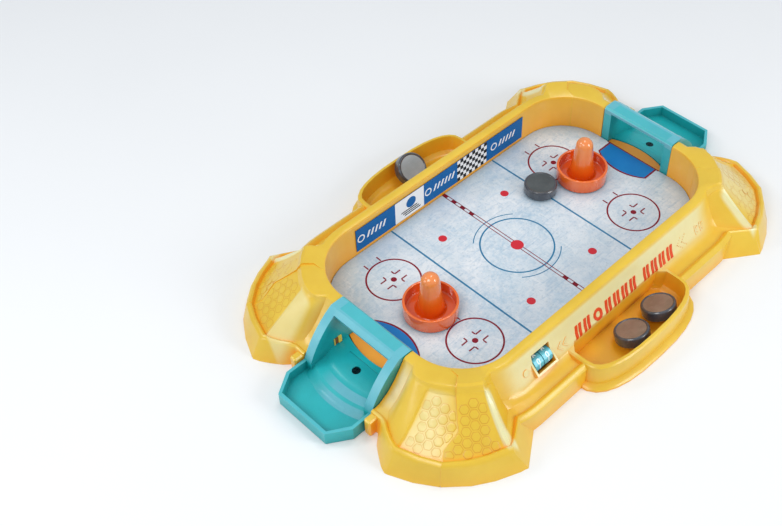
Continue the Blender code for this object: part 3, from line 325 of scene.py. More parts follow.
# Veins, mottle, flecks, patches and crossed scratches of the printed sheet
ICE_LAYERS = (((75, 6, 0.7, 1.6), 0.47, 0.53, 0.24, 0.0, (140, 176, 204)),
              ((300, 5, 0.7), 0.42, 0.62, 0.0, 0.55, (226, 230, 234)),
              ((520, 3, 0.6), 0.56, 0.66, 0.0, 0.4, (160, 182, 198)),
              ((9, 3, 0.5), 0.40, 0.62, 0.0, 0.22, (166, 188, 200)),
              ((60, 3, 0.5, 0.4, (1, 9, 1)), 0.58, 0.66, 0.0, 0.35, (150, 180, 204)),
              ((60, 3, 0.5, 0.4, (9, 1, 1)), 0.60, 0.68, 0.0, 0.30, (236, 239, 241)))


def ice_look():
    """The printed sheet: pale blue and grey clouds with fine crossed scratches."""
    look = Look("ice")
    tone = look.mix(look.cloud((24, 6, 0.62, 0.6), 0.36, 0.62), (186, 206, 220),
                    (226, 231, 236))
    for noise, low, high, start, end, colour in ICE_LAYERS:
        tone = look.mix(look.cloud(noise, low, high, start, end), tone, colour)
    # Painted shade: the sheet turns a darker grey blue where it is shut in, near the walls and
    # under things
    look.set(Base_Color=look.mix(look.openness(0.020, 0.35, 0.85), (150, 172, 188), tone))
    look.roughness((120, 3), 0.24, 0.36)
    look.bump(((60, 3), 0.00003), ((700, 2), 0.000006))
    look.set(Coat_Weight=0.25, Coat_Roughness=0.12)
    return look.material


KNOB_PALE = (ICE_TOP + 0.014, ICE_TOP + 0.030)


def knob_look():
    """Striker plastic: painted shade in a deeper orange in the dish, and paler towards the top of
    the knob.
    """
    look = Look("striker_plastic")
    base = look.mix(look.cloud((30, 3), 0.35, 0.65), (228, 98, 20), (236, 112, 30))
    # Painted shade: deeper orange where the surface is shut in
    base = look.mix(look.openness(0.016, 0.35, 0.85), (220, 78, 6), base)
    height = look.ramp(look.axes(look.place)[2], *KNOB_PALE)
    look.set(Base_Color=look.mix(height, base, (238, 140, 72)))
    look.roughness((60, 3), 0.16, 0.26)
    look.bump(((80, 3), 0.00005), ((1400, 2), 0.000008))
    look.set(Coat_Weight=0.9, Coat_Roughness=0.05, Subsurface_Weight=0.10,
             Subsurface_Scale=0.002, Subsurface_Radius=(1.0, 0.6, 0.2))
    return look.material


def puck_look(name, deep, pale, scuffed, coat=0.3):
    look = Look(name)
    tone = look.mix(look.cloud((70, 5, 0.6), 0.35, 0.65), deep, pale)
    scuff = look.cloud((220, 4, 0.6, 0.8, (1, 5, 1)), 0.60, 0.70, 0.0, 0.35)
    look.set(Base_Color=look.mix(scuff, tone, scuffed))
    look.roughness((150, 4), 0.32, 0.46)
    look.bump(((260, 3), 0.00003), ((2200, 2), 0.00001))
    look.set(Coat_Weight=coat, Coat_Roughness=0.14)
    return look.material


def steel_look(name, deep, pale):
    look = Look(name)
    look.set(Base_Color=look.mix(look.cloud((400, 3), 0.3, 0.7), deep, pale))
    look.roughness((900, 3), 0.22, 0.42)
    look.bump(((1200, 2, 0.5, 0.0, (1, 6, 1)), 0.00001))
    look.set(Metallic=1.0)
    return look.material


def felt_look():
    look = Look("grey_felt")
    fibre = look.cloud((900, 5, 0.7, 1.2), 0.3, 0.7)
    look.set(Base_Color=look.mix(fibre, (70, 70, 74), (128, 128, 132)))
    look.roughness((500, 3), 0.86, 0.98)
    look.bump(((1100, 4, 0.7, 1.0), 0.00015))
    look.set(Sheen_Weight=0.4)
    return look.material


# Third colour of each plastic, where given: its painted shade where the surface is shut in;
# frame_sheen and sheen colours: painted sheen
YELLOW = plastic("yellow_plastic", (218, 180, 42), (230, 194, 62), (246, 166, 30),
                 0.32, 0.10, frame_sheen=(228, 223, 170))
# Painted shade: darker copies of the yellow plastic on the sloping sides of the honeycomb tiles,
# standing in for the shade in their grooves; the faint one serves one corner
GROOVE_SHADE = plastic("groove_shade_plastic", (206, 152, 30), (214, 162, 40), (204, 138, 22),
                 0.38, frame_sheen=(226, 204, 128))
FAINT_GROOVE_SHADE = plastic("faint_groove_plastic", (208, 158, 30), (217, 169, 42), None,
                       0.38, frame_sheen=(228, 214, 150))
# Painted shadow: dark brown plastic for the shade inside each goal's clip notch
PAINTED_CLIP_SHADOW = plastic("clip_painted_shadow", (150, 78, 20), (168, 92, 26), (104, 50, 12), 0.4)
LAP = plastic("lap_plastic", (236, 194, 60), (244, 206, 80), None, 0.28)
# Painted shade: the deck is the yellow plastic in the orange it shows in shade
DECK_SHADE = plastic("deck_shade_plastic", (230, 152, 32), (236, 162, 44), (222, 124, 14), 0.32, 0.1)
TURQUOISE = plastic("turquoise_plastic", (18, 166, 172), (34, 184, 190), (4, 140, 144),
                    0.34, 0.06, 0.15, sheen=(116, 187, 206))
WHEEL = plastic("wheel_plastic", (78, 186, 206), (112, 206, 222), (30, 128, 150), 0.34)
ORANGE = knob_look()
PUCK_SIDE = puck_look("puck_plastic", (46, 50, 58), (66, 70, 80), (112, 116, 124), 0.8)
PUCK_DARK = puck_look("puck_face_dark", (60, 66, 68), (76, 82, 84), (104, 108, 110))
PUCK_BROWN = puck_look("puck_face_brown", (122, 98, 84), (142, 118, 104),
                       (160, 140, 128))
PUCK_GREY = puck_look("puck_face_grey", (150, 160, 168), (166, 174, 182),
                      (184, 190, 194))
ICE = ice_look()
STEEL = steel_look("screw_steel", (150, 152, 155), (196, 197, 199))
# Painted shade: a darker, teal-tinted copy of the screw steel for the goal's screw
SHADED_STEEL = steel_look("shaded_steel", (30, 52, 58), (52, 78, 84))
FELT = felt_look()
INK_RED = printed("ink_red", (124, 0, 30), (142, 8, 38), 0.5, 0.3)
INK_DOT = printed("ink_dot", (200, 20, 40), (212, 34, 52))
INK_LINE = printed("ink_line_blue", (10, 108, 150), (24, 124, 166))
INK_CREASE = printed("ink_crease", (14, 116, 188), (32, 134, 198), 0.5, 0.3)
STRIP_BLUE = printed("strip_blue", (0, 94, 162), (6, 104, 172), 0.55, 0.25)
STRIP_WHITE = printed("strip_white", (238, 240, 242), (248, 249, 250), 0.55, 0.25)
STRIP_BLACK = printed("strip_black", (12, 14, 20), (24, 26, 32), 0.55, 0.25)
MOTIF = printed("motif_paint", (218, 62, 8), (228, 78, 14))
DIGIT = printed("digit_paint", (206, 236, 244), (226, 244, 250), 0.40)


# Finishes of the CAD pieces

WELD_DISTANCE = 1e-6
FLAT_ANGLE = 1.0
MOULDED_ANGLE = 30.0
# Material and rounding of each kind of piece
LOOKS = {"side_rail": (YELLOW, 0.0003), "corner_cover": (YELLOW, 0.0003),
         "rink_deck": (DECK_SHADE, 0.0003), "goal_screw": (SHADED_STEEL, 0.0002),
         "rail_screw": (STEEL, 0.0002), "corner_screw": (STEEL, 0.0002),
         "score_wheel": (WHEEL, 0.0002), "score_axle": (STEEL, 0.0),
         "score_keeper": (YELLOW, 0.0002), "striker_felt": (FELT, 0.0),
         "goal": (TURQUOISE, 0.0005), "ice_sheet": (ICE, 0.0),
         "wall_strip": (STRIP_BLUE, 0.0)}
REPLACED = ("striker_left", "striker_right", "puck_in_play", "puck_near_a", "puck_near_b",
            "puck_far")


def round_edges(piece, width, angle):
    """Round the edges of a piece that are sharper than an angle in degrees."""
    rounded = piece.modifiers.new("rounded", "BEVEL")
    rounded.width = width
    rounded.segments = 2
    rounded.limit_method = "ANGLE"
    rounded.angle_limit = radians(angle)
    rounded.use_clamp_overlap = True
    rounded.harden_normals = True


def dress(node, material, bevel):
    """Give a CAD piece its material, and round its sharp edges with modifiers."""
    piece = NODES[node]
    piece.data.materials.clear()
    piece.data.materials.append(material)
    for slot in piece.material_slots:
        slot.link = "DATA"
    if "custom_normal" in piece.data.attributes:
        piece.data.attributes.remove(piece.data.attributes["custom_normal"])
    piece.data.shade_smooth()
    weld = piece.modifiers.new("weld", "WELD")
    weld.merge_threshold = WELD_DISTANCE
    flat = piece.modifiers.new("flat", "DECIMATE")
    flat.decimate_type = "DISSOLVE"
    flat.angle_limit = radians(FLAT_ANGLE)
    if bevel:
        round_edges(piece, bevel, MOULDED_ANGLE)
    weight = piece.modifiers.new("weight", "WEIGHTED_NORMAL")
    weight.keep_sharp = True


for name in sorted(NODES):
    if name not in REPLACED:
        kind = max((key for key in LOOKS if name.startswith(key)), key=len)
        dress(name, *LOOKS[kind])


# Shapes

# Sharpest edge, in degrees, that is shaded smooth
FLAT_SMOOTH = 40.0
ROUND_SMOOTH = 60.0
# Thickness of a layer of ink, and the step from one layer to the next
INK = 0.00003
LAYER = 0.000015
# Depth of a raised mark's foot below the surface it stands on
SINK = 0.0002
LEAST_RADIUS = 1e-6


def new_object(name, data):
    made = bpy.data.objects.new(name, data)
    SCENE.collection.objects.link(made)
    return made


def new_mesh(name, shape, material):
    mesh = bpy.data.meshes.new(name)
    shape.to_mesh(mesh)
    shape.free()
    mesh.materials.append(material)
    return mesh


def new_piece(name, shape, material, smooth=FLAT_SMOOTH, body="rink"):
    """A piece from a bmesh, with outward faces, riding on a body."""
    bmesh.ops.recalc_face_normals(shape, faces=shape.faces)
    mesh = new_mesh(name, shape, material)
    mesh.shade_smooth()
    mesh.set_sharp_from_angle(angle=radians(smooth))
    piece = new_object(name, mesh)
    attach(piece, body)
    return piece


def slab(shape, grid, place, high, sink=0.0, wrap=False):
    """A closed thin body over a grid of (u, v) points; place gives world points at a height."""
    top, low = ([[shape.verts.new(place(u, v, height)) for u, v in row] for row in grid]
                for height in (high, -sink))
    rows = list(zip(top, low))
    for (top_a, low_a), (top_b, low_b) in zip(rows, rows[1:] + rows[:1] if wrap else rows[1:]):
        for k in range(len(top_a) - 1):
            shape.faces.new((top_a[k], top_b[k], top_b[k + 1], top_a[k + 1]))
            shape.faces.new((low_a[k], low_a[k + 1], low_b[k + 1], low_b[k]))
        shape.faces.new((top_a[0], low_a[0], low_b[0], top_b[0]))
        shape.faces.new((top_a[-1], top_b[-1], low_b[-1], low_a[-1]))
    for upper, under in () if wrap else (rows[0], rows[-1]):
        for k in range(len(upper) - 1):
            shape.faces.new((upper[k], upper[k + 1], under[k + 1], under[k]))


def plate(shape, place, start, end, low, high, top=INK, sink=0.0, lean=0.0):
    """A slab from start to end and from low to high, whose high edge is moved by lean."""
    grid = [[(start, low), (start + lean, high)], [(end, low), (end + lean, high)]]
    slab(shape, grid, place, top, sink)


def close(shape, rings, ends):
    """Join rings of vertices and close both ends with a fan; gives the faces between rings."""
    count = len(rings[0])
    sides = []
    for first, second in zip(rings, rings[1:]):
        for step in range(count):
            after = (step + 1) % count
            sides.append(shape.faces.new((first[step], first[after], second[after], second[step])))
    for end, edge in zip(ends, (rings[0], rings[-1])):
        for step in range(count):
            shape.faces.new((end, edge[step], edge[(step + 1) % count]))
    return sides


def circle(radius, steps, centre=(0.0, 0.0)):
    """Points round a circle."""
    turns = [2 * pi * step / steps for step in range(steps)]
    return [(centre[0] + radius * cos(turn), centre[1] + radius * sin(turn)) for turn in turns]


def disc(shape, centre, radius, place, high, sink=0.0, steps=40):
    """A closed thin round body, as rings about a middle point."""
    rings = []
    for share, height in ((0.5, -sink), (1.0, -sink), (1.0, high), (0.5, high)):
        rings.append([shape.verts.new(place(u, v, height))
                      for u, v in circle(radius * share, steps, centre)])
    close(shape, rings, [shape.verts.new(place(*centre, height)) for height in (-sink, high)])


def turned(profile, steps):
    """A bmesh of a profile of (radius, height) points turned about Z."""
    shape = bmesh.new()
    rings = []
    for radius, height in profile:
        points = circle(radius, steps) if radius > LEAST_RADIUS else [(0.0, 0.0)]
        rings.append([shape.verts.new((x, y, height)) for x, y in points])
    for first, second in zip(rings, rings[1:]):
        for step in range(steps):
            after = (step + 1) % steps
            face = list(dict.fromkeys((first[step % len(first)], first[after % len(first)],
                                       second[after % len(second)], second[step % len(second)])))
            if len(face) > 2:
                shape.faces.new(face)
    return shape


def filleted(points, steps=5):
    """A profile of (radius, height, fillet) points with its corners rounded."""
    rounded = []
    for index, (x, y, fillet) in enumerate(points):
        if not fillet or index in (0, len(points) - 1):
            rounded.append((x, y))
            continue
        here = Vector((x, y))
        before = (Vector(points[index - 1][:2]) - here).normalized()
        after = (Vector(points[index + 1][:2]) - here).normalized()
        start, end = here + before * fillet, here + after * fillet
        for step in range(steps + 1):
            share = step / steps
            point = (start * (1 - share) ** 2 + here * 2 * share * (1 - share)
                     + end * share ** 2)
            rounded.append((max(point.x, 0.0), point.y))
    return rounded


# Strikers and pucks

TURN_STEPS = 96
STRIKER_RADIUS = 0.0187
STRIKER_RIM = 0.0108
STRIKER_HEIGHT = 0.0358
STRIKER_WALL = 0.0018
STRIKER_FLOOR = 0.0030
STRIKER_DRAFT = 0.0002
KNOB_FOOT = 0.0098
KNOB_WAIST = (0.0078, 0.0148)
KNOB_TOP = 0.0063
DOME_ANGLES = (15, 30, 45, 60, 75)
PUCK_RADIUS = 0.0120
PUCK_THICK = 0.0080
PUCK_FACE = 0.0100
PUCK_RECESS = 0.0005
PUCK_RECESS_WALL = 0.0006
PUCK_CHAMFER = (0.0008, 0.0010)
# Lean in degrees and face of each puck
PUCKS = {"puck_in_play": (0.0, PUCK_DARK), "puck_near_a": (-20.0, PUCK_BROWN),
         "puck_near_b": (-20.0, PUCK_BROWN), "puck_far": (45.0, PUCK_GREY)}


def striker_profile():
    """The knob's top, down its side, across the dish, over the rim and back inside."""
    rim, floor, wall = STRIKER_RADIUS, STRIKER_FLOOR, STRIKER_WALL
    dome = STRIKER_HEIGHT - KNOB_TOP
    points = [(0.0, STRIKER_HEIGHT, 0.0)]
    for angle in DOME_ANGLES:
        turn = radians(angle)
        points.append((KNOB_TOP * sin(turn), dome + KNOB_TOP * cos(turn), 0.0))
    points += [
        (KNOB_TOP, dome, 0.0),
        (KNOB_WAIST[0], KNOB_WAIST[1], 0.0040),
        (KNOB_FOOT, floor + wall / 2, 0.0007),
        (KNOB_FOOT + wall / 2, floor, 0.0006),
        (rim - wall - STRIKER_DRAFT, floor, 0.0012),
        (rim - wall, STRIKER_RIM, 0.0006),
        (rim - wall / 2, STRIKER_RIM, 0.0),
        (rim, STRIKER_RIM, 0.0007),
        (rim, 0.0, 0.0005),
        (rim - wall + STRIKER_DRAFT, 0.0, 0.0004),
        (rim - wall, floor - wall, 0.0004),
        (KNOB_FOOT - wall / 2, floor - wall, 0.0006),
        (KNOB_WAIST[0] - wall, KNOB_WAIST[1], 0.0020),
        (KNOB_TOP - wall, dome, 0.0016),
        (0.0, STRIKER_HEIGHT - wall, 0.0)]
    return filleted(points)


def stand_in(node, shape, at, material):
    """A turned shape in place of a CAD node."""
    bmesh.ops.translate(shape, vec=at, verts=shape.verts)
    body = NODES[node]["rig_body"]
    piece = new_piece("visible_" + node, shape, material, ROUND_SMOOTH, body)
    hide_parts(node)
    return piece


def strikers():
    for node in ("striker_left", "striker_right"):
        low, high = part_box(node)
        middle = (low + high) / 2
        shape = turned(striker_profile(), TURN_STEPS)
        stand_in(node, shape, (middle.x, middle.y, low.z), ORANGE)


def puck_profile():
    """Down one half from the middle of its face, and back along the other."""
    half = PUCK_THICK / 2
    upper = [(0.0, half - PUCK_RECESS, 0.0), (PUCK_FACE, half - PUCK_RECESS, 0.0003),
             (PUCK_FACE + PUCK_RECESS_WALL, half, 0.0003),
             (PUCK_RADIUS - PUCK_CHAMFER[0], half, 0.0003),
             (PUCK_RADIUS, half - PUCK_CHAMFER[1], 0.0004)]
    return filleted(upper + [(x, -y, r) for x, y, r in reversed(upper)], 4)


def pucks():
    for node, (lean, face) in PUCKS.items():
        low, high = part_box(node)
        shape = turned(puck_profile(), TURN_STEPS)
        for side in shape.faces:
            if all(hypot(*corner.co.xy) < PUCK_FACE for corner in side.verts):
                side.material_index = 1
        bmesh.ops.rotate(shape, matrix=Matrix.Rotation(radians(lean), 3, "X"), verts=shape.verts)
        piece = stand_in(node, shape, (low + high) / 2, PUCK_SIDE)
        piece.data.materials.append(face)


strikers()
pucks()


# Rink markings, as thin printed layers on the ice sheet

# Place along the rink and width of the lines across it
BLUE_LINE = (52.1, 1.35)
CENTRE_LINE = (1.25, 0.6)
CENTRE_LINE_START = 4.0
DASHES = (44.0, 52.7, 61.4, 70.1)
DASH_HALF = 2.1
DASH_WIDTH = 2.5
# Radius and width of each ring
CENTRE_RING = (26.0, 1.15)
CENTRE_ARC = (30.6, 0.7)
SPOT_RING = (18.7, 1.25)
ARC_STARTS = (48, 228)
ARC_SWEEP = 84
CENTRE_DOT_RADIUS = 4.6
OPEN_DOT = (32.0, 41.3)
OPEN_DOT_RADIUS = 3.1
SPOT = (82.5, 37.8)
SPOT_RADIUS = 2.1
# Ends of the marks about a spot, in each of its quarters and on either side of its ring
QUARTER_MARKS = (((3.8, 3.3), (9.0, 3.3)), ((3.8, 3.7), (3.8, 6.6)))
SIDE_MARK = ((5.8, 18.9), (5.8, 23.5))
MARK_WIDTH = 1.05
CREASE_HALF_WIDTH = 22.4
CREASE_BACK = 130.4
CREASE_BEND = 116.8
CREASE_TIP = 108.8
CREASE_LINE = 1.4
CREASE_STEPS = 24
GOAL_LINE_X = 130.0
GOAL_LINE_HALF = 24.4
GOAL_LINE_WIDTH = 0.9
# Least number of steps round a ring, and its radius times sweep for each step more
RING_STEPS = 8
RING_FINENESS = 90


def raised(layer, side=1):
    """The ice's place function, lifted by whole layers, and mirrored in X where side is -1."""
    def place(u, v, height):
        return (u * side * MM, v * MM, ICE_TOP + LAYER * layer + height)
    return place


on_ice = raised(0)


def bar(shape, start, end, width, place=on_ice):
    """A straight line of ink between two points."""
    start, end = Vector(start), Vector(end)
    along = (end - start).normalized()
    side = Vector((-along.y, along.x)) * width / 2
    slab(shape, [[(point - side)[:], (point + side)[:]] for point in (start, end)], place, INK)


def ring(shape, centre, radius, width, place=on_ice, high=INK, start=0.0, sweep=360.0):
    """A ring or, with a smaller sweep in degrees, an arc."""
    steps = max(RING_STEPS, int(sweep * radius / RING_FINENESS))
    full = sweep == 360.0
    grid = []
    for step in range(steps if full else steps + 1):
        turn = radians(start + sweep * step / steps)
        grid.append([(centre[0] + (radius + offset) * cos(turn),
                      centre[1] + (radius + offset) * sin(turn))
                     for offset in (-width / 2, width / 2)])
    slab(shape, grid, place, high, wrap=full)


def crease_outline(shift):
    """From the goal line round the crease and back to the goal line, drawn inwards by shift."""
    half, tip = CREASE_HALF_WIDTH - shift, CREASE_TIP + shift
    points = [(CREASE_BACK, -half), (CREASE_BEND, -half)]
    rise = CREASE_BEND - tip
    radius = (half * half + rise * rise) / (2 * rise)
    reach = atan2(half, radius - rise)
    for step in range(1, CREASE_STEPS):
        turn = -reach + 2 * reach * step / CREASE_STEPS
        points.append((tip + radius - radius * cos(turn), radius * sin(turn)))
    return points + [(CREASE_BEND, half), (CREASE_BACK, half)]


def goal_crease(red, crease, side):
    """The crease in front of one goal, in rows across it, then its outline and the goal line."""
    inner = crease_outline(CREASE_LINE)
    rows = [[inner[step], inner[-1 - step]] for step in range(len(inner) // 2)]
    slab(crease, rows, raised(1, side), INK)
    slab(red, list(zip(crease_outline(0.0), inner)), raised(2, side), INK)
    bar(red, (GOAL_LINE_X, -GOAL_LINE_HALF), (GOAL_LINE_X, GOAL_LINE_HALF), GOAL_LINE_WIDTH,
        raised(3, side))


def corner_spots(red, dots, x, y):
    """The open dot, the ringed spot and the marks round it in one corner of the rink."""
    disc(dots, (OPEN_DOT[0] * x, OPEN_DOT[1] * y), OPEN_DOT_RADIUS, on_ice, INK)
    spot = Vector((SPOT[0] * x, SPOT[1] * y))
    disc(red, spot, SPOT_RADIUS, on_ice, INK)
    ring(red, spot, *SPOT_RING)
    for u in (-1, 1):
        for v in (-1, 1):
            for mark in QUARTER_MARKS:
                bar(red, *(spot + Vector((p * u, q * v)) for p, q in mark), MARK_WIDTH)
        bar(red, *(spot + Vector((p * u, q)) for p, q in SIDE_MARK), MARK_WIDTH)


def rink_markings():
    red, blue, dots, crease = (bmesh.new() for colour in range(4))
    wall = (RINK_HALF_WIDTH - WALL_CLEAR) / MM
    for side in (-1, 1):
        x, width = BLUE_LINE
        bar(blue, (x * side, -wall), (x * side, wall), width)
        x, width = CENTRE_LINE
        for end in (1, -1):
            bar(red, (x * side, CENTRE_LINE_START * end), (x * side, wall * end), width, raised(1))
        for dash in DASHES:
            middle = dash * side
            bar(red, (0, middle - DASH_HALF), (0, middle + DASH_HALF), DASH_WIDTH, raised(1))
        goal_crease(red, crease, side)
    ring(blue, (0, 0), *CENTRE_RING)
    for start in ARC_STARTS:
        ring(blue, (0, 0), *CENTRE_ARC, start=start, sweep=ARC_SWEEP)
    disc(dots, (0, 0), CENTRE_DOT_RADIUS, raised(2), INK)
    for name, x, y in CORNERS:
        corner_spots(red, dots, x, y)
    for name, shape, material in (("red_lines", red, INK_RED), ("blue_lines", blue, INK_LINE),
                                  ("dots", dots, INK_DOT), ("creases", crease, INK_CREASE)):
        new_piece("rink_" + name, shape, material)


rink_markings()


# Printed wall strips, with places along the far strip and heights above the table

STRIP_FACE = 0.0719
STRIP_LOW = 16.3
STRIP_HIGH = 36.2
PRINT_MARGIN = 0.2
WHITE_PATCH = (-47.8, -19.9)
CHECKS = (14.2, 45.2)
ROWS = 6
COLUMNS = 10
DISC_PLACE = (-32.5, 28.6)
DISC_RADIUS = 4.6
SPEED_LINES = ((-42.5, 23.6), (-40.9, 21.7), (-39.3, 19.8))
SPEED_LENGTH = 15.5
SPEED_THICK = 1.0
SPEED_LEAN = 0.8
# Place of each puck ring on the blue patches, and the number of slanted bars beside it
RINGS = ((-15.5, 6), (53.0, 5), (-80.0, 5))
RING_HEIGHT = 26.4
RING_SIZE = (2.9, 1.0)
SLANT_OFFSET = 5.0
SLANT_PITCH = 3.7
SLANT_WIDTH = 1.6
SLANT_HEIGHTS = (23.6, 29.2)
SLANT_LEAN = 2.2


def on_strip(side, layer=0):
    """The far strip's place function, or the near one's, half-turned, where side is -1."""
    def place(u, v, height):
        depth = STRIP_FACE - LAYER * layer - height
        return (side * u * MM, side * depth, v * MM)
    return place


def wall_prints():
    low, high = STRIP_LOW + PRINT_MARGIN, STRIP_HIGH - PRINT_MARGIN
    cell = (high - low) / ROWS
    pitch = (CHECKS[1] - CHECKS[0]) / COLUMNS
    for name, side in (("far", 1), ("near", -1)):
        white, black, blue = (bmesh.new() for colour in range(3))
        upper = on_strip(side, 2)
        for start, end in (WHITE_PATCH, CHECKS):
            plate(white, on_strip(side), start, end, low, high)
        for row in range(ROWS):
            for column in range(row % 2, COLUMNS, 2):
                x, z = CHECKS[0] + column * pitch, low + row * cell
                plate(black, upper, x, x + pitch, z, z + cell)
        # A plain disc over speed lines on the white patch
        disc(blue, DISC_PLACE, DISC_RADIUS, upper, INK)
        for x, z in SPEED_LINES:
            plate(black, upper, x, x + SPEED_LENGTH, z - SPEED_THICK, z, lean=SPEED_LEAN)
        # A puck ring and slanted bars on the blue patches
        for origin, count in RINGS:
            ring(white, (origin, RING_HEIGHT), *RING_SIZE, upper)
            for number in range(count):
                x = origin + SLANT_OFFSET + SLANT_PITCH * number
                plate(white, upper, x, x + SLANT_WIDTH, *SLANT_HEIGHTS, lean=SLANT_LEAN)
        for kind, shape, material in (("white", white, STRIP_WHITE), ("black", black, STRIP_BLACK),
                                      ("disc", blue, STRIP_BLUE)):
            new_piece("strip_%s_%s" % (kind, name), shape, material)


wall_prints()


# Raised marks on the cove of each rail

RAIL_SHAPE = bmesh.new()
RAIL_SHAPE.from_mesh(NODES["side_rail_far"].data)
RAIL_TREE = BVHTree.FromBMesh(RAIL_SHAPE)
COVER_SHAPE = bmesh.new()
COVER_SHAPE.from_mesh(NODES["corner_cover_right_far"].data)
COVER_TREE = BVHTree.FromBMesh(COVER_SHAPE)
CAST = 0.03
COVE_ORIGIN = Vector((0.0, 0.0850, 0.0232))
COVE_DOWN = Vector((0.0, 0.677, -0.736)).normalized()
MARK_RISE = 0.0005
MARK_EDGE = 0.00018
MARK_ANGLE = 45.0
BLOCK_ROWS = 6
BLOCK_COLUMNS = 2
CHEVRON_ROWS = 3
CHEVRON_SPREAD = 0.9
# Starts of the pairs of slanted bars, and their pitch, width, half length and slant
MOTIF_STARTS = (-63.0, -54.4, -45.8, -37.2, -22.6, -14.0, -5.4, 3.2, 24.8, 33.4)
MOTIF_PITCH = 3.6
MOTIF_BAR = (2.3, 4.6, 1.6)
MOTIF_RING = ((17.4, 0), 3.2, 2.2)
# Tip, arm and width of each chevron, and start, width, half length and slant of each stem
CHEVRONS = ((51.9, 3.4, 1.3), (56.9, 3.4, 1.3), (-89.0, 2.6, 1.2), (-94.5, 2.6, 1.2))
STEMS = ((-89.6, 1.2, 3.4, 0.0), (-95.1, 1.2, 3.4, 0.0))
STEM_RISE = 0.0004
BUTTON = ((86.8, -1.6), 2.3)
BUTTON_RISE = 0.0007
BUTTON_STEPS = 24
DOTTED_TIPS = (-68.5, -73.5)
DOTS = 4
DOT_STEP = (1.3, 1.25)
DOT_RADIUS = 0.45
DOT_RISE = 0.0003
DOT_STEPS = 10


def surface(tree, origin, across, down, flattest=0.0):
    """Place function on a surface, or None where that is missed or leans too far from the plane."""
    normal = across.cross(down).normalized()
    if normal.z < 0:
        normal.negate()

    def place(u, v, height):
        start = origin + across * u * MM + down * v * MM + normal * CAST
        hit, facing = tree.ray_cast(start, -normal)[:2]
        if hit is None or facing.dot(normal) < flattest:
            return None
        return hit + normal * height
    return place


def block(shape, place, x, width, half, slant, rise):
    """A slanted bar across the cove's middle."""
    grid = []
    for row in range(BLOCK_ROWS + 1):
        v = -half + 2 * half * row / BLOCK_ROWS
        left = x + slant * (v + half) / (2 * half)
        grid.append([(left + width * step / BLOCK_COLUMNS, v) for step in range(BLOCK_COLUMNS + 1)])
    slab(shape, grid, place, rise, SINK)


def chevron(shape, place, x, arm, width):
    """An open arrow head whose tip is at x."""
    for side in (-1, 1):
        grid = []
        for step in range(CHEVRON_ROWS + 1):
            run = arm * step / CHEVRON_ROWS
            grid.append([(x - run + offset, side * run * CHEVRON_SPREAD)
                         for offset in (-width / 2, width / 2)])
        slab(shape, grid, place, MARK_RISE, SINK)


def cove_marks():
    place = surface(RAIL_TREE, COVE_ORIGIN, Vector((1, 0, 0)), COVE_DOWN)
    for name, matrix in (("far", Matrix.Identity(4)), ("near", HALF_TURN)):
        paint, plain = bmesh.new(), bmesh.new()
        for start in MOTIF_STARTS:
            for x in (start, start + MOTIF_PITCH):
                block(paint, place, x, *MOTIF_BAR, MARK_RISE)
        ring(paint, *MOTIF_RING, place, MARK_RISE)
        for values in CHEVRONS:
            chevron(plain, place, *values)
        for values in STEMS:
            block(plain, place, *values, STEM_RISE)
        disc(plain, *BUTTON, place, BUTTON_RISE, SINK, BUTTON_STEPS)
        for x in DOTTED_TIPS:
            for side in (-1, 1):
                for step in range(DOTS):
                    spot = (x - DOT_STEP[0] * step, side * DOT_STEP[1] * step)
                    disc(plain, spot, DOT_RADIUS, place, DOT_RISE, SINK, DOT_STEPS)
        for shape in (paint, plain):
            bmesh.ops.transform(shape, matrix=matrix, verts=shape.verts)
        for piece in (new_piece("cove_motif_" + name, paint, MOTIF),
                      new_piece("cove_marks_" + name, plain, YELLOW)):
            round_edges(piece, MARK_EDGE, MARK_ANGLE)


cove_marks()


# Honeycomb on the corner panels

HEX_PITCH = 6.6
HEX_GROOVE = 0.65
HEX_APOTHEM = (HEX_PITCH - HEX_GROOVE) / 2
HEX_CORNER = 1.12
HEX_RISE = 0.00012
HEX_STEPS = 24
HEX_SPAN = range(-6, 7)
# Share of the outline and height of each ring of a tile, from its foot to its flat top
TILE_RINGS = ((1.0, 0.3), (0.84, 1.0), (0.5, 1.0))
# A tile's outline is drawn in by steps where it leaves the panel, and a small rest is left out
TRIM_STEP = 0.04
TRIM_LEAST = 0.05
TILE_MEAN = 0.70
TILE_LEAST = 0.30
CAP_REACH = 0.0170
PANEL_REACH = 0.0490
PANEL_MIDDLE = (0.033, 0.0270)
PANEL_SLOPE = (0.040, -0.030)
PANEL_MARGIN = 0.9
PANEL_START = 0.05
PANEL_END = 1.6
PANEL_FLATTEST = 0.8
# A panel's borders about the corner, as (share of the way down the panel, angle)
GOAL_BORDER = ((0.0, 24.0), (0.06, 22.9), (0.30, 21.8), (0.54, 20.8), (0.82, 19.7), (1.0, 18.6))
SEAM_BORDER = ((0.0, 41.0), (0.06, 41.0), (0.30, 42.0), (0.54, 43.0), (0.82, 36.8), (1.0, 36.8))
RAIL_BORDER = ((0.0, 57.0), (0.06, 58.2), (0.30, 59.4), (0.54, 60.6), (0.82, 61.8), (1.0, 63.0))
# Surface, middle angle and borders of each half of a panel, and whether its tiles fade
PANEL_HALVES = ((COVER_TREE, 30.0, GOAL_BORDER, SEAM_BORDER, True),
                (RAIL_TREE, 51.0, SEAM_BORDER, RAIL_BORDER, False))
FADE_ANGLE = 13.0
FADE_LEAST = 0.12
# Corner whose tiles take the fainter painted groove shade
FAINT_CORNER = "left_far"


def border_angle(border, share):
    for (start, first), (end, second) in zip(border, border[1:]):
        if share <= end:
            return first + (second - first) * (share - start) / (end - start)
    return border[-1][1]


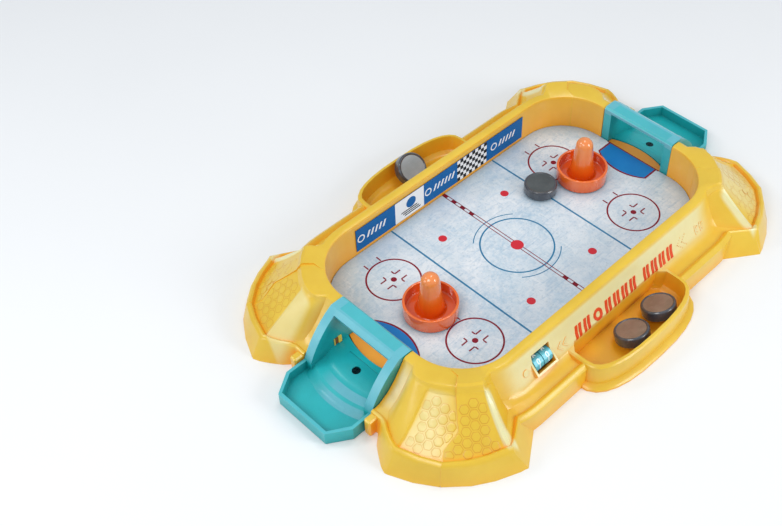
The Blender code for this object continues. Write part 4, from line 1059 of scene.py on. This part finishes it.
def polar(hit):
    """Share of the way down the panel, the angle about the corner, and the radius."""
    x, y = hit.x - CORNER_X, hit.y - CORNER_Y
    radius = hypot(x, y)
    share = (radius - CORNER_RADIUS - CAP_REACH) / (PANEL_REACH - CAP_REACH)
    return share, degrees(atan2(y, x)), radius


def panel_inside(hit, first, last):
    """Whether a point is well inside a panel between its two borders."""
    if hit is None:
        return False
    share, angle, radius = polar(hit)
    edge = PANEL_MARGIN * MM / (PANEL_REACH - CAP_REACH)
    if share < edge + PANEL_START or share > 1.0 - edge * PANEL_END:
        return False
    margin = degrees(PANEL_MARGIN * MM / radius)
    return border_angle(first, share) + margin < angle < border_angle(last, share) - margin


def trimmed(centre, inside):
    """A tile's outline and how much of each ray is left, drawn in to where it is inside."""
    points, shares = [], []
    for step in range(HEX_STEPS):
        angle = 2 * pi * step / HEX_STEPS
        flat = (angle - pi / 2 + pi / 6) % (pi / 3) - pi / 6
        reach = min(HEX_APOTHEM / cos(flat), HEX_APOTHEM * HEX_CORNER)
        ray = Vector((cos(angle), sin(angle))) * reach
        share = 1.0
        while share > TRIM_LEAST and not inside(centre + ray * share):
            share -= TRIM_STEP
        shares.append(share)
        points.append(centre + ray * share)
    return points, shares


def tile(shape, place, centre, points, rise, matrix):
    """A low closed tile with a sloping edge, which has the second material, the painted groove
    shade.
    """
    rings = []
    heights = [(1.0, -SINK)] + [(share, rise * part) for share, part in TILE_RINGS]
    for share, height in heights:
        rings.append([shape.verts.new(matrix @ place(*(centre + (point - centre) * share), height))
                      for point in points])
    ends = [shape.verts.new(matrix @ place(*centre, height)) for height in (-SINK, rise)]
    for side in close(shape, rings, ends)[:-len(points)]:
        side.material_index = 1


def honeycomb(shape, matrix, tree, middle, first, last, fade):
    """Tiles over one half of a panel, which fade out towards the goal where fade is true."""
    turn = radians(middle)
    out = Vector((cos(turn), sin(turn), 0))
    across = Vector((-sin(turn), cos(turn), 0))
    down = (out * PANEL_SLOPE[0] + Vector((0, 0, PANEL_SLOPE[1]))).normalized()
    origin = (Vector((CORNER_X, CORNER_Y, PANEL_MIDDLE[1]))
              + out * (CORNER_RADIUS + PANEL_MIDDLE[0]))
    place = surface(tree, origin, across, down, PANEL_FLATTEST)

    def inside(point):
        return panel_inside(place(*point, 0.0), first, last)

    column_pitch = HEX_PITCH * sqrt(3) / 2
    for column in HEX_SPAN:
        for row in HEX_SPAN:
            centre = Vector((column * column_pitch, (row + 0.5 * (column % 2)) * HEX_PITCH))
            if not inside(centre):
                continue
            points, shares = trimmed(centre, inside)
            if sum(shares) / HEX_STEPS < TILE_MEAN or min(shares) < TILE_LEAST:
                continue
            rise = HEX_RISE
            if fade:
                share, angle, radius = polar(place(*centre, 0.0))
                past = (angle - border_angle(first, share)) / FADE_ANGLE
                rise *= min(1.0, max(FADE_LEAST, past))
            tile(shape, place, centre, points, rise, matrix)


def corner_tiles():
    for name, x, y in CORNERS:
        shape = bmesh.new()
        matrix = Matrix.Diagonal((x, y, 1, 1))
        for half in PANEL_HALVES:
            honeycomb(shape, matrix, *half)
        piece = new_piece("corner_tiles_" + name, shape, YELLOW, ROUND_SMOOTH)
        piece.data.materials.append(FAINT_GROOVE_SHADE if name == FAINT_CORNER else GROOVE_SHADE)


# The lap inside each seam between a cover and its rail

LAP_HALF_WIDTH = 0.35
LAP_DEPTH = 0.00012
LAP_THICK = 0.0008
WALL_HEIGHTS = (0.0100, 0.0250)
WALL_ANGLE = 35.0
RIM_TOP = 0.0412
RIM_FILLET = 0.0025
COVER_CAP = 0.0014
CAP_FILLET = 0.0026
CAP_JOG = (0.42, 41.5)
CAP_ANGLE = 41.0
SLOPE_FOOT = 0.0147
SLOPE_POWER = 1.15
SLOPE_REACH = 0.0499
SLOPE_START = 0.04
GROOVE_START = 0.05
GROOVE_DEPTH = 0.0012
LEDGE_WIDTH = 0.0046
LEDGE_RISE = 0.0016
FOOT_ANGLE = 36.8
SKIRT = ((0.0551, SLOPE_FOOT * 0.84), (0.0582, 0.0012))


def seam_rows():
    """Reach past the corner arc, height and angle of the seam, from the inner wall to the foot."""
    top = RIM_TOP + COVER_CAP
    rows = [(0.0, height, WALL_ANGLE) for height in WALL_HEIGHTS]
    for turn in (0.0, pi / 4, pi / 2):
        rows.append((RIM_FILLET * (1 - cos(turn)), RIM_TOP - RIM_FILLET * (1 - sin(turn)),
                     WALL_ANGLE))
    rows.append((RIM_FILLET + (CAP_REACH - RIM_FILLET - CAP_FILLET) * CAP_JOG[0],
                 RIM_TOP + COVER_CAP / 2, CAP_JOG[1]))
    for turn in (0.0, pi / 4, pi / 2):
        rows.append((CAP_REACH - CAP_FILLET * (1 - sin(turn)), top - CAP_FILLET * (1 - cos(turn)),
                     CAP_ANGLE))
    for share, angle in ((SLOPE_START, CAP_ANGLE),) + SEAM_BORDER[1:]:
        height = SLOPE_FOOT + (top - CAP_FILLET - SLOPE_FOOT) * (1 - share) ** SLOPE_POWER
        if share > GROOVE_START:
            height -= GROOVE_DEPTH
        rows.append((CAP_REACH + (SLOPE_REACH - CAP_REACH) * share, height, angle))
    for share in (0.25, 0.5, 0.75, 1.0):
        rows.append((SLOPE_REACH + LEDGE_WIDTH * share, SLOPE_FOOT + LEDGE_RISE * sin(pi * share),
                     FOOT_ANGLE))
    return rows + [(reach, height, FOOT_ANGLE) for reach, height in SKIRT]


def seam_laps():
    rows = seam_rows()
    normals = []
    for index in range(len(rows)):
        before, after = rows[max(index - 1, 0)], rows[min(index + 1, len(rows) - 1)]
        along = Vector((after[0] - before[0], after[1] - before[1])).normalized()
        normals.append(Vector((-along.y, along.x)))
    grid = [[(row, -LAP_HALF_WIDTH), (row, LAP_HALF_WIDTH)] for row in range(len(rows))]
    for name, x, y in CORNERS:
        def place(row, shift, height, x=x, y=y):
            reach, level, angle = rows[row]
            radius = CORNER_RADIUS + reach + normals[row].x * height
            turn = radians(angle)
            return (x * (CORNER_X + radius * cos(turn) - shift * MM * sin(turn)),
                    y * (CORNER_Y + radius * sin(turn) + shift * MM * cos(turn)),
                    level + normals[row].y * height)
        shape = bmesh.new()
        slab(shape, grid, place, -LAP_DEPTH, LAP_DEPTH + LAP_THICK)
        new_piece("corner_lap_" + name, shape, LAP)


seam_laps()
corner_tiles()
RAIL_SHAPE.free()
COVER_SHAPE.free()


# Clips at the notch in one arm of each goal, over a painted shadow

NOTCH_FLOOR = 0.0259
NOTCH_START = 0.0122
NOTCH_LENGTH = 0.0046
NOTCH_LOW = 0.0135
NOTCH_HIGH = 0.0172
CLIP_CLEAR = 0.0002
CLIP_BASE = 0.0003
# Start, end and height of each plate, the first two as shares of the notch's length
# The floor plate and the gap plate are painted shadow, standing in for the shade inside the notch
FLOOR_PLATE = (0.0, 0.9, 0.0009)
GAP_PLATE = (0.42, 1.02, 0.0015)
HEAD_PLATES = ((-0.22, 0.40, 0.0021), (1.04, 1.20, 0.0018))
HEAD_SPAN = (-0.32, 1.40)
HEAD_FOOT = 0.00125


def clip_tabs():
    """A painted shadow plate in each notch, and yellow heads that lie over the notch's edges."""
    for name, side in (("right", 1), ("left", -1)):
        def place(u, v, height, side=side):
            x = RINK_HALF_LENGTH + NOTCH_START + CLIP_CLEAR + u * (NOTCH_LENGTH - 2 * CLIP_CLEAR)
            z = NOTCH_LOW + CLIP_CLEAR + v * (NOTCH_HIGH - NOTCH_LOW - 2 * CLIP_CLEAR)
            return (side * x, side * (height - NOTCH_FLOOR + CLIP_BASE), z)
        shadow, head = bmesh.new(), bmesh.new()
        start, end, top = FLOOR_PLATE
        plate(shadow, place, start, end, 0.0, 1.0, top)
        for shape, plates in ((shadow, [GAP_PLATE]), (head, HEAD_PLATES)):
            for start, end, top in plates:
                plate(shape, place, start, end, *HEAD_SPAN, top, -HEAD_FOOT)
        # The goal_clip pieces hold the painted shadow plates
        new_piece("goal_clip_" + name, shadow, PAINTED_CLIP_SHADOW)
        new_piece("goal_clip_head_" + name, head, LAP)


clip_tabs()


# Numbers on the score wheels

WHEEL_RADIUS = 0.0058
WHEEL_FACETS = 10
WHEEL_FLAT = WHEEL_RADIUS * cos(pi / WHEEL_FACETS)
WHEELS = ("far_tens", "far_units", "near_tens", "near_units")
FIRST_FACET = 45.0
DIGIT_SIZE = 0.0054
DIGIT_THICK = 0.00004
DIGIT_BOLD = 0.00016
DIGIT_LIFT = 0.00005
DIGIT_WELD = 1e-7


def digit_mesh(number):
    """A number as a mesh in its own plane, about its middle."""
    text = bpy.data.curves.new("digit", "FONT")
    text.body = str(number)
    text.size = DIGIT_SIZE
    text.extrude = DIGIT_THICK
    text.offset = DIGIT_BOLD
    text.align_x = "CENTER"
    text.align_y = "CENTER"
    holder = new_object("digit", text)
    bpy.context.view_layer.update()
    source = holder.evaluated_get(bpy.context.evaluated_depsgraph_get())
    mesh = bpy.data.meshes.new_from_object(source)
    bpy.data.objects.remove(holder, do_unlink=True)
    return mesh


def wheel_digits():
    digits = [digit_mesh(number) for number in range(WHEEL_FACETS)]
    lift = Matrix.Translation((0, 0, WHEEL_FLAT + DIGIT_LIFT))
    for wheel in WHEELS:
        node = "score_wheel_" + wheel
        low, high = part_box(node)
        centre = (low + high) / 2
        side = HALF_TURN if centre.y < 0 else Matrix.Identity(4)
        shape = bmesh.new()
        for number, digit in enumerate(digits):
            turn = radians(FIRST_FACET - 360 / WHEEL_FACETS * number)
            axes = Matrix(((-1, 0, 0), (0, -sin(turn), cos(turn)), (0, cos(turn), sin(turn))))
            copy = digit.copy()
            copy.transform(Matrix.Translation(centre) @ side @ axes.transposed().to_4x4() @ lift)
            shape.from_mesh(copy)
            bpy.data.meshes.remove(copy)
        bmesh.ops.remove_doubles(shape, verts=shape.verts, dist=DIGIT_WELD)
        body = NODES[node]["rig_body"]
        new_piece("digits_" + node, shape, DIGIT, body=body)


wheel_digits()


# Floor, light and camera

FLOOR_HALF = 6.0
FLOOR_CELLS = 8
FLOOR_DEEP = (234.9, 237.4, 239.8)
FLOOR_PALE = (238.6, 241.0, 243.3)
SKY_LIGHT = (0.93, 0.96, 1.0, 1)
SKY_LIGHT_STRENGTH = 0.54
SKY_SHOWN = (0.90, 0.92, 0.94, 1)
# Name, place, size, power and colour of each soft lamp; all of them face the rink
LAMPS = (("key", (-0.70, -0.15, 0.80), 0.46, 3.1, (1.0, 0.99, 0.97)),
         ("front", (0.35, -0.95, 0.55), 0.50, 4.8, (1.0, 0.99, 0.97)),
         ("side", (-0.97, 0.45, 0.28), 0.34, 1.1, (0.94, 0.98, 1.0)),
         ("edge", (-0.55, 0.62, 0.75), 0.24, 1.2, (1.0, 1.0, 1.0)),
         ("top", (0.25, 0.10, 1.15), 0.40, 2.2, (1.0, 1.0, 1.0)))
CAMERA_PLACE = Vector((-0.4188, -0.3429, 0.5741))
CAMERA_TARGET = Vector((-0.0279, 0.0248, 0.0))
CAMERA_ROLL = 0.84
CAMERA_LENS = 51.5
CAMERA_SENSOR = 36.0
CAMERA_SHIFT = (-0.0928, -0.0034)


def floor():
    shape = bmesh.new()
    bmesh.ops.create_grid(shape, x_segments=FLOOR_CELLS, y_segments=FLOOR_CELLS, size=FLOOR_HALF)
    look = Look("floor")
    look.set(Base_Color=look.mix(look.cloud((3, 3), 0.3, 0.7), FLOOR_DEEP, FLOOR_PALE))
    look.set(Roughness=0.7)
    piece = new_object("floor", new_mesh("floor", shape, look.material))


def lamp(name, place, size, power, colour):
    light = bpy.data.lights.new(name, "AREA")
    light.shape = "DISK"
    light.size = size
    light.energy = power
    light.color = colour
    holder = new_object(name, light)
    holder.location = place
    holder.rotation_euler = (-Vector(place)).to_track_quat("-Z", "Y").to_euler()
    holder.visible_camera = False


def world():
    """A sky that lights the game, and an even background where the camera sees it."""
    sky = bpy.data.worlds.new("studio")
    sky.use_nodes = True
    tree = sky.node_tree
    tree.nodes.clear()
    light = new_node(tree, "Background", {"Color": SKY_LIGHT, "Strength": SKY_LIGHT_STRENGTH})
    shown = new_node(tree, "Background", {"Color": SKY_SHOWN, "Strength": 1.0})
    path = new_node(tree, "LightPath", {})
    choice = new_node(tree, "MixShader", {
        "Fac": path.outputs["Is Camera Ray"], 1: light.outputs[0], 2: shown.outputs[0]})
    new_node(tree, "OutputWorld", {"Surface": choice.outputs["Shader"]})
    SCENE.world = sky


def camera():
    lens = bpy.data.cameras.new("camera")
    lens.lens = CAMERA_LENS
    lens.sensor_width = CAMERA_SENSOR
    lens.sensor_fit = "HORIZONTAL"
    lens.shift_x, lens.shift_y = CAMERA_SHIFT
    holder = new_object("camera", lens)
    holder.location = CAMERA_PLACE
    aim = (CAMERA_TARGET - CAMERA_PLACE).to_track_quat("-Z", "Y")
    roll = Quaternion((0, 0, 1), radians(CAMERA_ROLL))
    holder.rotation_mode = "QUATERNION"
    holder.rotation_quaternion = aim @ roll
    SCENE.camera = holder


floor()
for values in LAMPS:
    lamp(*values)
world()
camera()
SCENE.view_settings.view_transform = "Standard"
